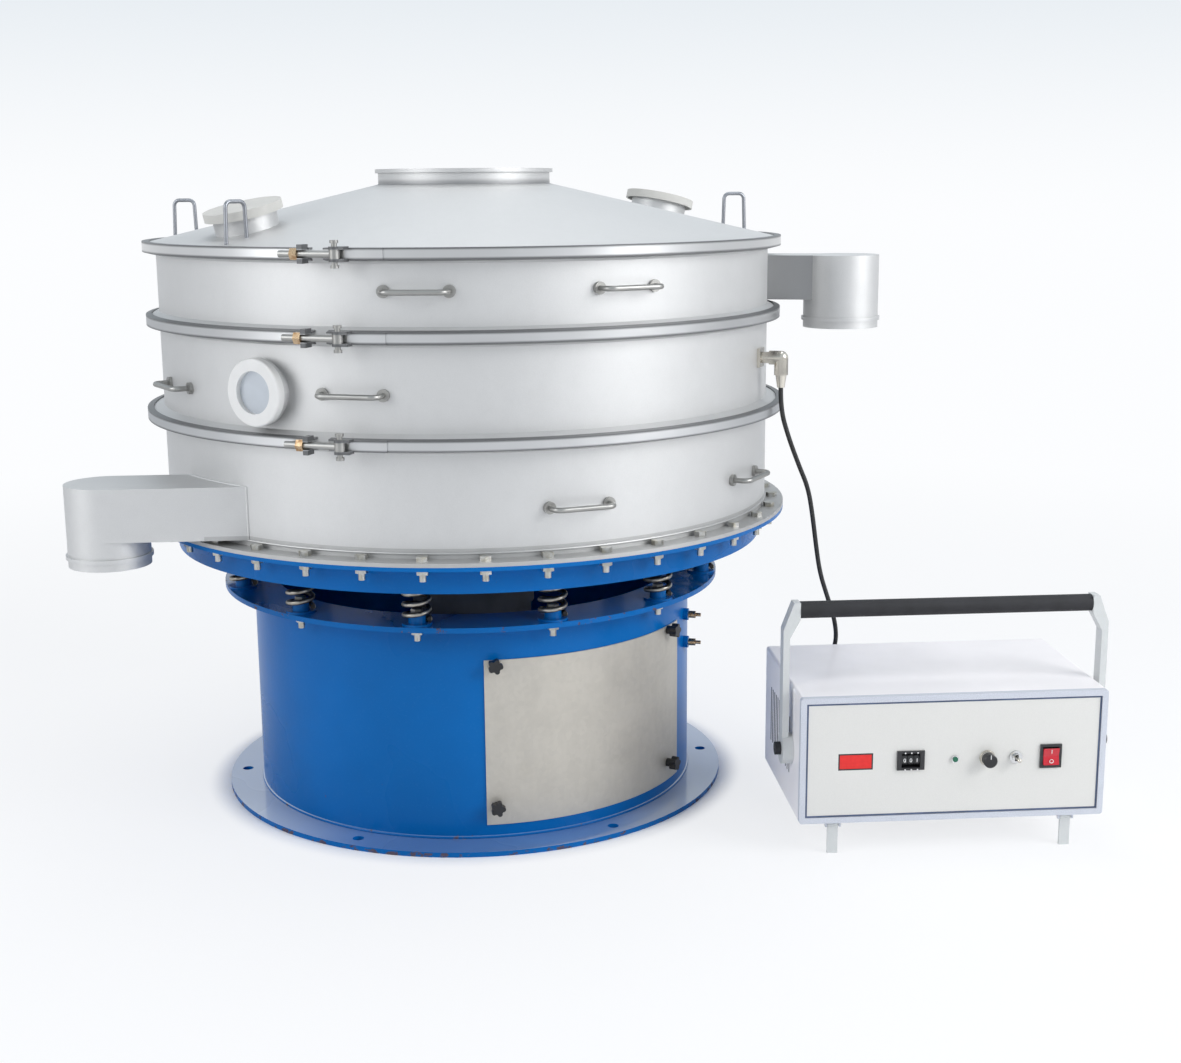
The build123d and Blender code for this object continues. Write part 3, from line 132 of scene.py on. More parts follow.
# Settings that a user would change
class SieveColours(bpy.types.PropertyGroup):
    """Colours of the sieve's finishes."""

    blasted: bpy.props.FloatVectorProperty(
        name="Blasted steel", description="Colour of the frames, the lid and the outlets",
        default=(0.600, 0.600, 0.598), subtype="COLOR", min=0, max=1)
    enamel: bpy.props.FloatVectorProperty(
        name="Enamel", description="Colour of the base and the table",
        default=(0.0, 0.125, 0.415), subtype="COLOR", min=0, max=1)
    door: bpy.props.FloatVectorProperty(
        name="Door sheet", description="Colour of the galvanised door",
        default=(0.525, 0.495, 0.440), subtype="COLOR", min=0, max=1)
    case_top: bpy.props.FloatVectorProperty(
        name="Case", description="Colour of the generator's case",
        default=(0.950, 0.930, 0.945), subtype="COLOR", min=0, max=1)
    case_rim: bpy.props.FloatVectorProperty(
        name="Case rim", description="Colour of the generator's front rim",
        default=(0.560, 0.590, 0.660), subtype="COLOR", min=0, max=1)
    panel: bpy.props.FloatVectorProperty(
        name="Panel", description="Colour of the generator's front panel",
        default=(0.705, 0.700, 0.675), subtype="COLOR", min=0, max=1)
    backdrop: bpy.props.FloatVectorProperty(
        name="Backdrop", description="Colour of the floor and the background",
        default=(0.975, 0.985, 1.000), subtype="COLOR", min=0, max=1)
    sky: bpy.props.FloatVectorProperty(
        name="Upper background", description="Colour of the background high up",
        default=(0.690, 0.760, 0.820), subtype="COLOR", min=0, max=1)


class SieveSizes(bpy.types.PropertyGroup):
    """Sizes of the sieve's added pieces."""

    spring_wire: bpy.props.FloatProperty(
        name="Spring wire", description="Radius of the springs' wire",
        default=0.004, unit="LENGTH")
    spring_coil: bpy.props.FloatProperty(
        name="Spring coil", description="Radius of the springs' coil at the wire's middle",
        default=0.019, unit="LENGTH")
    cable: bpy.props.FloatProperty(
        name="Cable", description="Diameter of the transducer's cable",
        default=0.0075, unit="LENGTH")
    weld: bpy.props.FloatProperty(
        name="Weld", description="Radius of the weld beads",
        default=0.0022, unit="LENGTH")


# Shader maths
class Wire:
    """One value in a node tree, which can be used in Python expressions."""

    def __init__(self, shading, socket):
        self.shading = shading
        self.socket = socket

    def __add__(self, other):
        return self.shading.maths("ADD", self, other)

    def __radd__(self, other):
        return self.shading.maths("ADD", other, self)

    def __sub__(self, other):
        return self.shading.maths("SUBTRACT", self, other)

    def __rsub__(self, other):
        return self.shading.maths("SUBTRACT", other, self)

    def __mul__(self, other):
        return self.shading.maths("MULTIPLY", self, other)

    def __rmul__(self, other):
        return self.shading.maths("MULTIPLY", other, self)

    def __pow__(self, other):
        return self.shading.maths("POWER", self, other)

    def __abs__(self):
        return self.shading.maths("ABSOLUTE", self)

    def __gt__(self, other):
        return self.shading.maths("GREATER_THAN", self, other)

    def __lt__(self, other):
        return self.shading.maths("LESS_THAN", self, other)


class Shading:
    """A node tree of a material or a world."""

    def __init__(self, tree):
        self.tree = tree
        self.tree.nodes.clear()

    def node(self, kind, settings=None, inputs=None, output=0):
        """Adds a node: its settings first, then the values or links of its sockets."""
        made = self.tree.nodes.new(kind)
        for key, value in (settings or {}).items():
            setattr(made, key, value)
        for key, value in (inputs or {}).items():
            if isinstance(value, Wire):
                self.tree.links.new(value.socket, made.inputs[key])
            else:
                made.inputs[key].default_value = value
        return Wire(self, made.outputs[output])

    def maths(self, operation, *values):
        return self.node("ShaderNodeMath", {"operation": operation}, dict(enumerate(values)))

    def parts(self, vector):
        """The three coordinates of a vector."""
        split = self.tree.nodes.new("ShaderNodeSeparateXYZ")
        self.tree.links.new(vector.socket, split.inputs[0])
        return [Wire(self, out) for out in split.outputs]

    def vector(self, x, y, z):
        return self.node("ShaderNodeCombineXYZ", None, {0: x, 1: y, 2: z})

    def step(self, value, low, high):
        """0 at low, 1 at high and smooth between. The value falls where low is the larger one."""
        return self.node("ShaderNodeMapRange", {"interpolation_type": "SMOOTHSTEP"},
                         {"Value": value, "From Min": low, "From Max": high})

    def colours(self, factor, first, second):
        """Mixes two colours."""
        made = self.tree.nodes.new("ShaderNodeMix")
        made.data_type = "RGBA"
        for key, value in ((0, factor), (MIX_FIRST, first), (MIX_SECOND, second)):
            if isinstance(value, Wire):
                self.tree.links.new(value.socket, made.inputs[key])
            elif key == 0:
                made.inputs[key].default_value = value
            else:
                made.inputs[key].default_value = (*value, 1)
        return Wire(self, made.outputs[MIX_RESULT])


class Finish(Shading):
    """One procedural material, drawn in the sieve's own coordinates."""

    def __init__(self, name):
        self.material = bpy.data.materials.new(name)
        self.material.use_nodes = True
        super().__init__(self.material.node_tree)
        self.shader = self.tree.nodes.new("ShaderNodeBsdfPrincipled")
        self.output = self.tree.nodes.new("ShaderNodeOutputMaterial")
        self.tree.links.new(self.shader.outputs[0], self.output.inputs["Surface"])
        self.place = self.node("ShaderNodeTexCoord", output="Object")
        self.x, self.y, self.z = self.parts(self.place)

    def noise(self, scale, detail=2, place=None, rough=0.5, distortion=0):
        inputs = {"Vector": place or self.place, "Scale": scale, "Detail": detail,
                  "Roughness": rough, "Distortion": distortion}
        return self.node("ShaderNodeTexNoise", None, inputs)

    def cells(self, scale, place=None, output="Color"):
        inputs = {"Vector": place or self.place, "Scale": scale}
        return self.node("ShaderNodeTexVoronoi", None, inputs, output)

    def facing(self):
        """The three parts of the surface's normal."""
        return self.parts(self.node("ShaderNodeNewGeometry", output="Normal"))

    def radius(self, x=None, y=None):
        """How far two coordinates lie from zero: by default, how far out from the sieve's axis."""
        x = self.x if x is None else x
        y = self.y if y is None else y
        return (x * x + y * y) ** 0.5

    def along(self, round_scale, height_scale):
        """Coordinates drawn out round the sieve's axis, for brushed streaks."""
        angle = self.maths("ARCTAN2", self.y, self.x)
        return self.vector(angle * round_scale, self.radius() * height_scale, self.z * height_scale)

    def bump(self, height, strength, distance):
        inputs = {"Height": height, "Strength": strength, "Distance": distance}
        return self.node("ShaderNodeBump", None, inputs)

    def set(self, **values):
        """Sets or links the shader's sockets: underscores stand for spaces."""
        for key, value in values.items():
            socket = self.shader.inputs[key.replace("_", " ")]
            if isinstance(value, Wire):
                self.tree.links.new(value.socket, socket)
            elif isinstance(value, tuple):
                socket.default_value = (*value, 1)
            else:
                socket.default_value = value
        return self.material


def shade(colour, factor):
    """The colour made lighter or darker."""
    return tuple(min(1, c * factor) for c in colour)


# Finishes
def blasted_steel(name, colour):
    """Glass-bead blasted stainless sheet: even and pale, with painted shade at the neck's foot, on the
    coarse duct's front and at the frame's foot.
    """
    f = Finish(name)
    cloud = f.noise(2.6, 3)
    wipe = f.noise(9, 4, f.along(3, 5), 0.6)
    grain = f.noise(620, 3)
    tone = f.step(cloud * 0.6 + wipe * 0.4, 0.32, 0.68)
    base = f.colours(tone, shade(colour, 0.97), shade(colour, 1.025))
    base = f.colours(f.step(grain, 0.3, 0.7) * 0.3, base, shade(colour, 1.10))
    # Painted shadow: a dark band on the lowest part of the neck, where it meets the lid's cone
    rise = f.z - NECK_FOOT
    neck = f.step(rise, 0, 0.0020) * f.step(rise, 0.0115, 0.0030)
    front = f.step(f.facing()[1] * -1, 0.8, 0.95)
    # Painted shade on the coarse duct's front face, from the frame to its round mouth
    duct = front * (f.x > 0.48) * (f.x < 0.5744) * (f.z > 0.80)
    # The painted shades at the neck and on the duct both darken towards the same grey
    base = f.colours((neck + duct) * 0.6, base, (0.16, 0.165, 0.175))
    # Painted shade on the bottom flange and the foot of the frame's wall, but not on the fine spout
    foot = (f.z < 0.4975) * (f.radius() < 0.545)
    base = f.colours(foot * 0.4, base, (0.26, 0.26, 0.255))
    return f.set(Base_Color=base, Metallic=0.70, Roughness=0.45 + 0.08 * wipe,
                 Normal=f.bump(grain, 0.20, 0.0006))


def polished_steel(name, colour, rough):
    """Polished stainless with faint draw lines."""
    f = Finish(name)
    line = f.noise(60, 3, f.along(2, 40))
    smudge = f.noise(22, 3)
    base = f.colours(f.step(smudge, 0.3, 0.75), shade(colour, 0.9), colour)
    return f.set(Base_Color=base, Metallic=1.0, Roughness=rough + 0.16 * smudge,
                 Normal=f.bump(line, 0.06, 0.0004))


def clamp_steel(name, colour):
    """Polished clamp band: bright outer face and darker legs in the joints' shadow."""
    f = Finish(name)
    line = f.noise(60, 3, f.along(2, 40))
    smudge = f.noise(8, 2)
    base = f.colours(f.step(smudge, 0.3, 0.75), shade(colour, 0.94), colour)
    far = 1.0
    for joint in (LOWER_JOINT, MIDDLE_JOINT, UPPER_JOINT):
        far = f.maths("MINIMUM", far, abs(f.z - joint))
    leg = f.step(far, 0.0040, 0.0075)
    base = f.colours(leg * 0.92, base, (0.085, 0.088, 0.092))
    return f.set(Base_Color=base, Metallic=1.0 - 0.5 * leg, Roughness=0.26 + 0.06 * smudge + 0.1 * leg,
                 Normal=f.bump(line, 0.03, 0.0003))


def gloss_enamel(name, colour):
    """Thick gloss enamel with orange peel, rusty chips at its edges, and thin dust with a painted
    reflection on the base flange.
    """
    f = Finish(name)
    cloud = f.noise(3.2, 3)
    speck = f.noise(260, 3, None, 0.65)
    peel = f.noise(95, 2)
    radius = f.radius()
    foot_edge = f.step(radius, 0.4215, 0.4266) * f.step(f.z, 0.012, 0.003)
    top_edge = f.step(radius, 0.4150, 0.4188) * f.step(abs(f.z - 0.355), 0.010, 0.004)
    seam = f.step(abs(f.z - 0.010), 0.006, 0.001) * f.step(radius, 0.384, 0.372)
    edge = foot_edge + top_edge * 0.6 + seam * 0.5
    chip = f.step(f.noise(55, 5, None, 0.7) + edge * 0.18, 0.70, 0.74)
    base = f.colours(f.step(cloud, 0.3, 0.7), shade(colour, 0.88), shade(colour, 1.08))
    base = f.colours(f.step(speck, 0.56, 0.74) * 0.10, base, (0.06, 0.26, 0.62))
    rust = f.colours(f.noise(180, 3), (0.055, 0.032, 0.030), (0.16, 0.10, 0.085))
    base = f.colours(chip * 0.85, base, rust)
    flat = f.step(f.facing()[2], 0.6, 0.9)
    # Thin dust on top of the base flange, with a pale painted reflection that grows strong towards its
    # left and right sides
    dust_and_painted_reflection = flat * (f.z < 0.05) * (0.08 + 0.14 * cloud + 0.62 * f.step(abs(f.x), 0.16, 0.37))
    base = f.colours(dust_and_painted_reflection, base, (0.80, 0.86, 0.92))
    return f.set(Base_Color=base, Metallic=0.0, Roughness=0.24 + 0.08 * cloud + 0.35 * chip,
                 Coat_Weight=(0.08 + 0.92 * flat) * (1 - 0.9 * chip), Coat_Roughness=0.07,
                 Specular_IOR_Level=0.10,
                 Normal=f.bump(peel * 0.7 + speck * 0.2, 0.12, 0.001))


def zinc_plate(name, colour):
    """Bright zinc with faint yellow chromate clouds."""
    f = Finish(name)
    cloud = f.noise(130, 3)
    base = f.colours(f.step(cloud, 0.35, 0.7), colour, (0.42, 0.40, 0.34))
    return f.set(Base_Color=base, Metallic=1.0, Roughness=0.28 + 0.2 * cloud,
                 Normal=f.bump(f.noise(900, 2), 0.1, 0.0004))


def spring_steel(name):
    """Black oiled spring wire, with a painted highlight of bright metal on the outside of its coils."""
    f = Finish(name)
    far = f.parts(f.node("ShaderNodeUVMap", {"uv_map": "coil"}))[1]
    # Painted highlight: bright, shinier metal on the outside of each coil
    outside_highlight = f.step(f.noise(90, 4) * 0.45 + far, 1.02, 1.24)
    streak = f.noise(240, 3)
    black = f.colours(streak, (0.012, 0.011, 0.010), (0.05, 0.045, 0.040))
    bright = f.colours(f.noise(70, 2), (0.22, 0.20, 0.17), (0.58, 0.55, 0.48))
    base = f.colours(outside_highlight, black, bright)
    return f.set(Base_Color=base, Metallic=0.35 + 0.6 * outside_highlight, Roughness=0.42 - 0.14 * outside_highlight,
                 Normal=f.bump(streak, 0.12, 0.0006))


def galvanised_sheet(name, colour):
    """Galvanised sheet with soft spangles, wipe marks and a warm cast."""
    f = Finish(name)
    spangle = f.node("ShaderNodeRGBToBW", None, {0: f.cells(120)})
    cloud = f.noise(14, 5, None, 0.62, 0.4)
    wipe = f.noise(30, 4, f.vector(f.x, f.y, f.z * 0.25), 0.7)
    tone = f.step(spangle * 0.12 + cloud * 0.5 + wipe * 0.38, 0.32, 0.66)
    base = f.colours(tone, shade(colour, 0.92), shade(colour, 1.05))
    stain = f.step(f.noise(7, 4), 0.60, 0.80)
    base = f.colours(stain * 0.16, base, (0.42, 0.38, 0.29))
    return f.set(Base_Color=base, Metallic=0.45, Roughness=0.40 + 0.16 * cloud,
                 Normal=f.bump(spangle * 0.3 + wipe * 0.4, 0.08, 0.0006))


def moulded_plastic(name, colour, rough=0.42, coat=0.0, spread=0.2):
    """Moulded plastic with a fine spark-eroded grain."""
    f = Finish(name)
    grain = f.noise(1400, 2)
    smear = f.noise(35, 3)
    base = f.colours(f.step(smear, 0.35, 0.7), shade(colour, 1 - spread),
                     shade(colour, 1 + spread))
    return f.set(Base_Color=base, Roughness=rough + 0.12 * smear, Coat_Weight=coat,
                 Normal=f.bump(grain, 0.12, 0.0003))


def foam_rubber(name, colour):
    """Closed foam of the carrying grip, with pores."""
    f = Finish(name)
    pores = f.cells(900, None, "Distance")
    cloud = f.noise(30, 3)
    base = f.colours(f.step(cloud, 0.3, 0.7), colour, shade(colour, 1.9))
    return f.set(Base_Color=base, Roughness=0.62 + 0.14 * cloud,
                 Normal=f.bump(pores, 0.35, 0.0005))


def cast_metal(name, colour, metallic=0.0):
    """Painted or bare casting with a sandy skin."""
    f = Finish(name)
    sand = f.noise(260, 4)
    cloud = f.noise(12, 3)
    base = f.colours(f.step(cloud, 0.3, 0.7), shade(colour, 0.75), shade(colour, 1.2))
    return f.set(Base_Color=base, Metallic=metallic, Roughness=0.5 + 0.15 * cloud,
                 Normal=f.bump(sand, 0.4, 0.0012))


def worn_brass(name, colour):
    """Turned brass, dulled in its corners."""
    f = Finish(name)
    dull = f.step(f.noise(120, 4), 0.42, 0.66)
    base = f.colours(dull, colour, (0.34, 0.20, 0.10))
    return f.set(Base_Color=base, Metallic=1.0, Roughness=0.24 + 0.22 * dull,
                 Normal=f.bump(f.noise(800, 2), 0.1, 0.0004))


def woven_wire(name, colour):
    """Woven wire cloth, drawn as crossed waves."""
    f = Finish(name)
    wave = {"Vector": f.place, "Scale": 180}
    warp = f.node("ShaderNodeTexWave", {"bands_direction": "X"}, wave)
    weft = f.node("ShaderNodeTexWave", {"bands_direction": "Y"}, wave)
    cloth = f.maths("MAXIMUM", warp, weft)
    base = f.colours(cloth, shade(colour, 0.45), colour)
    return f.set(Base_Color=base, Metallic=0.8, Roughness=0.35 + 0.2 * f.noise(40, 2),
                 Normal=f.bump(cloth, 0.5, 0.0004))


def window_pane(name, colour):
    """Clear toughened pane, a little dusty inside."""
    f = Finish(name)
    dust = f.noise(60, 4)
    base = f.colours(f.step(dust, 0.4, 0.7), shade(colour, 0.97), colour)
    return f.set(Base_Color=base, Roughness=0.06 + 0.10 * f.step(dust, 0.45, 0.75),
                 Transmission_Weight=0.25, IOR=1.45)


def case_enamel(name, top, rim):
    """The generator's case: pale enamel, with a blue-grey front rim and a fine texture."""
    f = Finish(name)
    grain = f.noise(700, 3)
    cloud = f.noise(6, 3)
    front = f.step(f.y, CASE_FRONT + 0.0005, CASE_FRONT - 0.0005)
    pale = f.colours(f.step(cloud, 0.3, 0.7), shade(top, 0.96), shade(top, 1.04))
    blue = f.colours(f.step(grain, 0.3, 0.7), shade(rim, 0.92), shade(rim, 1.10))
    return f.set(Base_Color=f.colours(front, pale, blue), Roughness=0.36 + 0.1 * cloud,
                 Coat_Weight=0.15, Normal=f.bump(grain, 0.12, 0.0005))


def sprayed_silver(name, colour):
    """Fine silver paint with a metal sparkle."""
    f = Finish(name)
    flake = f.node("ShaderNodeRGBToBW", None, {0: f.cells(1500)})
    cloud = f.noise(9, 3)
    base = f.colours(flake * 0.5, shade(colour, 0.96), shade(colour, 1.10))
    return f.set(Base_Color=base, Metallic=0.15, Roughness=0.42 + 0.1 * cloud,
                 Normal=f.bump(flake, 0.06, 0.0003))


def lit_plastic(name, colour, glow):
    """Clear coloured plastic over a lamp."""
    f = Finish(name)
    rib = f.noise(300, 2)
    base = f.colours(rib, shade(colour, 0.8), colour)
    return f.set(Base_Color=base, Roughness=0.18 + 0.1 * rib, Coat_Weight=0.4,
                 Emission_Color=base, Emission_Strength=glow)


def dial_finish(name, colour):
    """Power dial: black cap in front of a bright plated collar."""
    f = Finish(name)
    collar = f.step(f.y, DIAL_COLLAR - 0.0002, DIAL_COLLAR + 0.0002)
    ribs = f.noise(420, 2, f.vector(f.x, f.z, 0))
    base = f.colours(collar, colour, (0.62, 0.61, 0.59))
    return f.set(Base_Color=base, Metallic=collar, Roughness=0.34 - 0.2 * collar + 0.05 * ribs,
                 Normal=f.bump(ribs, 0.15, 0.0003))


def circuit_finish(name):
    """Green board with darker windings."""
    f = Finish(name)
    track = f.step(f.noise(120, 2), 0.45, 0.55)
    base = f.colours(track, (0.02, 0.10, 0.05), (0.04, 0.17, 0.08))
    return f.set(Base_Color=base, Roughness=0.4 + 0.1 * track)


def fittings_finish(name):
    """Panel fittings in one node: red display, black frames and a green lamp in a bright bezel."""
    f = Finish(name)
    height = f.z - CONTROL_HEIGHT
    display = f.step(abs(f.x - DISPLAY_X), 0.0245, 0.0240) * f.step(abs(height), 0.0110, 0.0105)
    lamp_far = f.radius(f.x - LAMP_X, height)
    lamp = f.step(lamp_far, 0.0066, 0.0064)
    green = f.step(lamp_far, 0.0042, 0.0040)
    bush = f.step(abs(f.x - SWITCH_X), 0.0120, 0.0118)
    chrome = f.maths("MAXIMUM", lamp - green, bush)
    grain = f.noise(1200, 2)
    digit = f.noise(160, 2)
    black = f.colours(grain, (0.010, 0.010, 0.012), (0.030, 0.030, 0.034))
    base = f.colours(display, black, f.colours(digit, (0.60, 0.010, 0.008), (0.76, 0.018, 0.014)))
    base = f.colours(green, base, (0.010, 0.130, 0.070))
    base = f.colours(chrome, base, (0.62, 0.62, 0.62))
    glow = f.colours(display, (0, 0, 0), (0.35, 0.004, 0.003))
    return f.set(Base_Color=base, Metallic=chrome, Roughness=0.30 + 0.06 * digit - 0.12 * chrome,
                 Emission_Color=glow, Emission_Strength=0.15, Normal=f.bump(grain, 0.08, 0.0003))


# Every finish by its short name, for the nodes and the added pieces
NODE_FINISHES = {}


def finish_nodes(colours):
    """Makes the finishes and gives one to every CAD node."""
    blasted = tuple(colours.blasted)
    enamel = tuple(colours.enamel)
    made = {
        "blasted": blasted_steel("blasted_steel", blasted),
        "polished": polished_steel("polished_steel", (0.38, 0.375, 0.36), 0.32),
        "clamp": clamp_steel("clamp_steel", (0.66, 0.665, 0.67)),
        "rod": polished_steel("dark_rod", (0.30, 0.31, 0.335), 0.3),
        "enamel": gloss_enamel("blue_enamel", enamel),
        "zinc": zinc_plate("zinc_bolts", (0.50, 0.50, 0.49)),
        "spring": spring_steel("spring_wire"),
        "door": galvanised_sheet("door_sheet", tuple(colours.door)),
        "knob": moulded_plastic("black_knobs", (0.012, 0.012, 0.014), 0.35),
        "foam": foam_rubber("foam_grip", (0.010, 0.010, 0.012)),
        "casting": cast_metal("motor_casting", (0.16, 0.17, 0.18)),
        "weights": cast_metal("eccentric_steel", (0.30, 0.30, 0.31), 0.9),
        "brass": worn_brass("brass_nuts", (0.52, 0.38, 0.24)),
        "gasket": moulded_plastic("gasket_rubber", (0.50, 0.50, 0.48), 0.6, 0.0, 0.05),
        "cloth": woven_wire("screen_cloth", (0.52, 0.53, 0.54)),
        "white": moulded_plastic("white_nylon", (0.78, 0.78, 0.77), 0.36, 0.1, 0.015),
        "cap": moulded_plastic("pale_cap", (0.62, 0.615, 0.585), 0.45, 0.0, 0.03),
        "pane": window_pane("window_pane", (0.74, 0.79, 0.85)),
        "nickel": polished_steel("nickel_plate", (0.66, 0.62, 0.55), 0.12),
        "cable": moulded_plastic("cable_rubber", (0.016, 0.016, 0.017), 0.42),
        "case": case_enamel("case_enamel", tuple(colours.case_top), tuple(colours.case_rim)),
        "panel": sprayed_silver("panel_silver", tuple(colours.panel)),
        "alloy": sprayed_silver("handle_alloy", (0.62, 0.64, 0.64)),
        "fittings": fittings_finish("panel_fittings"),
        "dial": dial_finish("dial_plastic", (0.014, 0.014, 0.016)),
        "black": moulded_plastic("black_plastic", (0.014, 0.014, 0.016), 0.30, 0.2),
        "red": lit_plastic("red_rocker", (0.56, 0.006, 0.022), 0.08),
        "board": circuit_finish("circuit_board"),
        "ink": moulded_plastic("white_ink", (0.80, 0.80, 0.80), 0.5, 0.0, 0.02),
        "line": moulded_plastic("panel_line", (0.075, 0.105, 0.190), 0.5),
        # Painted shade that stands for the vent slots' openings
        "dark": moulded_plastic("dark_slots", (0.020, 0.021, 0.024), 0.6),
    }
    NODE_FINISHES.update(made)
    groups = {
        "enamel": "base_flange drum_shell drum_top_flange vibration_table",
        "zinc": "lower_spring_bolts table_bolts flange_bolts",
        "door": "access_door",
        "casting": "motor_housing",
        "weights": "motor_shaft upper_weight lower_weight",
        "blasted": "bottom_frame middle_frame top_frame fine_outlet coarse_outlet lid discharge_dome",
        "polished": "frame_handles clamp_pins swing_bolt_lower swing_bolt_middle swing_bolt_upper "
                    "screen_ring transducer",
        "clamp": "clamp_bands",
        "rod": "lifting_loops",
        "brass": "clamp_nut_lower clamp_nut_middle clamp_nut_upper grease_nipples",
        "gasket": "gaskets",
        "cloth": "screen_mesh",
        "white": "sight_ring",
        "cap": "port_cap_left port_cap_right",
        "pane": "sight_pane",
        "nickel": "cable_socket cable_plug toggle_lever",
        "cable": "ultrasonic_cable",
        "spring": "coil_springs",
        "case": "generator_case",
        "panel": "front_panel",
        "alloy": "carry_handle left_leg right_leg",
        "foam": "handle_grip",
        "fittings": "panel_fittings",
        "dial": "power_dial",
        "black": "thumbwheel_1 thumbwheel_2 thumbwheel_3",
        "red": "rocker_button",
        "board": "generator_electronics",
        "knob": "door_knob_1 door_knob_2 door_knob_3 door_knob_4",
    }
    for key, names in groups.items():
        for name in names.split():
            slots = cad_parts[name].data.materials
            slots.clear()
            slots.append(made[key])


# Making pieces
def piece(name, mesh, body, finish, crease=35):
    """Links a mesh as a finished piece that rides on a body."""
    made = bpy.data.objects.new(name, mesh)
    bpy.context.scene.collection.objects.link(made)
    mesh.materials.clear()
    mesh.materials.append(NODE_FINISHES[finish])
    mesh.shade_smooth()
    mesh.set_sharp_from_angle(angle=radians(crease))
    if body:
        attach(made, body)
    return made


def mesh_of(form, name):
    """Ends a bmesh: welds it, turns its faces outwards and makes a mesh of it."""
    bmesh.ops.remove_doubles(form, verts=form.verts, dist=1e-6)
    bmesh.ops.recalc_face_normals(form, faces=form.faces)
    mesh = bpy.data.meshes.new(name)
    form.to_mesh(mesh)
    form.free()
    return mesh


def outward(azimuth):
    """Unit vector from the axis at an azimuth from the front."""
    return Vector((sin(radians(azimuth)), -cos(radians(azimuth)), 0))


def smooth_line(points, name):
    """Points along the NURBS spline that has these control points."""
    curve = bpy.data.curves.new(name, "CURVE")
    curve.dimensions = "3D"
    spline = curve.splines.new("NURBS")
    spline.points.add(len(points) - 1)
    for point, place in zip(spline.points, points):
        point.co = (*place, 1)
    spline.order_u = 3
    spline.use_endpoint_u = True
    spline.resolution_u = 10
    holder = bpy.data.objects.new(name, curve)
    bpy.context.scene.collection.objects.link(holder)
    bpy.context.view_layer.update()
    mesh = bpy.data.meshes.new_from_object(holder)
    line = [v.co.copy() for v in mesh.vertices]
    bpy.data.objects.remove(holder)
    bpy.data.meshes.remove(mesh)
    return line


def tube(form, line, radius, sides):
    """Draws a round tube along a line."""
    rings = []
    for n, place in enumerate(line):
        ahead = line[min(n + 1, len(line) - 1)] - line[max(n - 1, 0)]
        turn = ahead.to_track_quat("Z", "Y").to_matrix().to_4x4()
        made = bmesh.ops.create_circle(form, segments=sides, radius=radius,
                                       matrix=Matrix.Translation(place) @ turn)
        rings.append(made["verts"])
    for first, second in zip(rings, rings[1:]):
        edges = [e for ring in (first, second) for e in {e for v in ring for e in v.link_edges}
                 if all(v in ring for v in e.verts)]
        bmesh.ops.bridge_loops(form, edges=edges)
    for ring in (rings[0], rings[-1]):
        bmesh.ops.contextual_create(form, geom=ring)


def bead_ring(form, radius, height, size):
    """A weld bead that runs round the axis."""
    bulge, rise = size * 0.75, size * 0.7
    profile = [(radius, height - size), (radius + bulge, height - rise), (radius + size, height),
               (radius + bulge, height + rise), (radius, height + size)]
    verts = [form.verts.new((0, -r, z)) for r, z in profile]
    edges = [form.edges.new(pair) for pair in zip(verts, verts[1:])]
    bmesh.ops.spin(form, geom=verts + edges, cent=(0, 0, 0), axis=UP, angle=radians(360), steps=180,
                   use_merge=True)


def block(form, low, high, bevel, segments=1):
    """A bevelled block between two corners."""
    centre = (Vector(low) + Vector(high)) / 2
    size = Vector(high) - Vector(low)
    fitted = Matrix.Translation(centre) @ Matrix.Diagonal((*size, 1))
    made = bmesh.ops.create_cube(form, size=1, matrix=fitted)
    edges = list({e for v in made["verts"] for e in v.link_edges})
    bmesh.ops.bevel(form, geom=edges, offset=bevel, affect="EDGES", segments=segments, profile=0.5,
                    material=-1)


def lettering(words, size, place, name):
    """Flat raised figures that face the front, as a mesh."""
    curve = bpy.data.curves.new(name, "FONT")
    curve.body = words
    curve.size = size
    curve.extrude = 0.0002
    curve.align_x = "CENTER"
    curve.align_y = "CENTER"
    holder = bpy.data.objects.new(name, curve)
    bpy.context.scene.collection.objects.link(holder)
    bpy.context.view_layer.update()
    mesh = bpy.data.meshes.new_from_object(holder)
    bpy.data.objects.remove(holder)
    mesh.transform(Matrix.Translation(place) @ Matrix.Rotation(radians(90), 4, "X"))
    return mesh


# Operators
class SieveOperator:
    """What the operators share."""

    bl_options = {"REGISTER", "UNDO"}

    def execute(self, context):
        self.make(context.scene.sieve_colours, context.scene.sieve_sizes)
        return {"FINISHED"}


class SIEVE_OT_camera(SieveOperator, bpy.types.Operator):
    """Set the camera at the photograph's place."""

    bl_idname = "sieve.camera"
    bl_label = "Camera"

    def make(self, colours, sizes):
        pitch, yaw, roll = radians(11.82), radians(4.177), radians(-0.448)
        ahead = Vector((sin(yaw) * cos(pitch), cos(yaw) * cos(pitch), -sin(pitch)))
        level = ahead.cross(UP).normalized()
        above = level.cross(ahead)
        right = level * cos(roll) + above * sin(roll)
        top = above * cos(roll) - level * sin(roll)
        data = bpy.data.cameras.new("photo_view")
        data.lens = CAMERA_LENS
        data.sensor_width = 36
        data.sensor_fit = "HORIZONTAL"
        camera = bpy.data.objects.new("photo_view", data)
        turn = Matrix((right, top, -ahead)).transposed().to_4x4()
        camera.matrix_world = Matrix.Translation(CAMERA_PLACE) @ turn
        bpy.context.scene.collection.objects.link(camera)
        bpy.context.scene.camera = camera


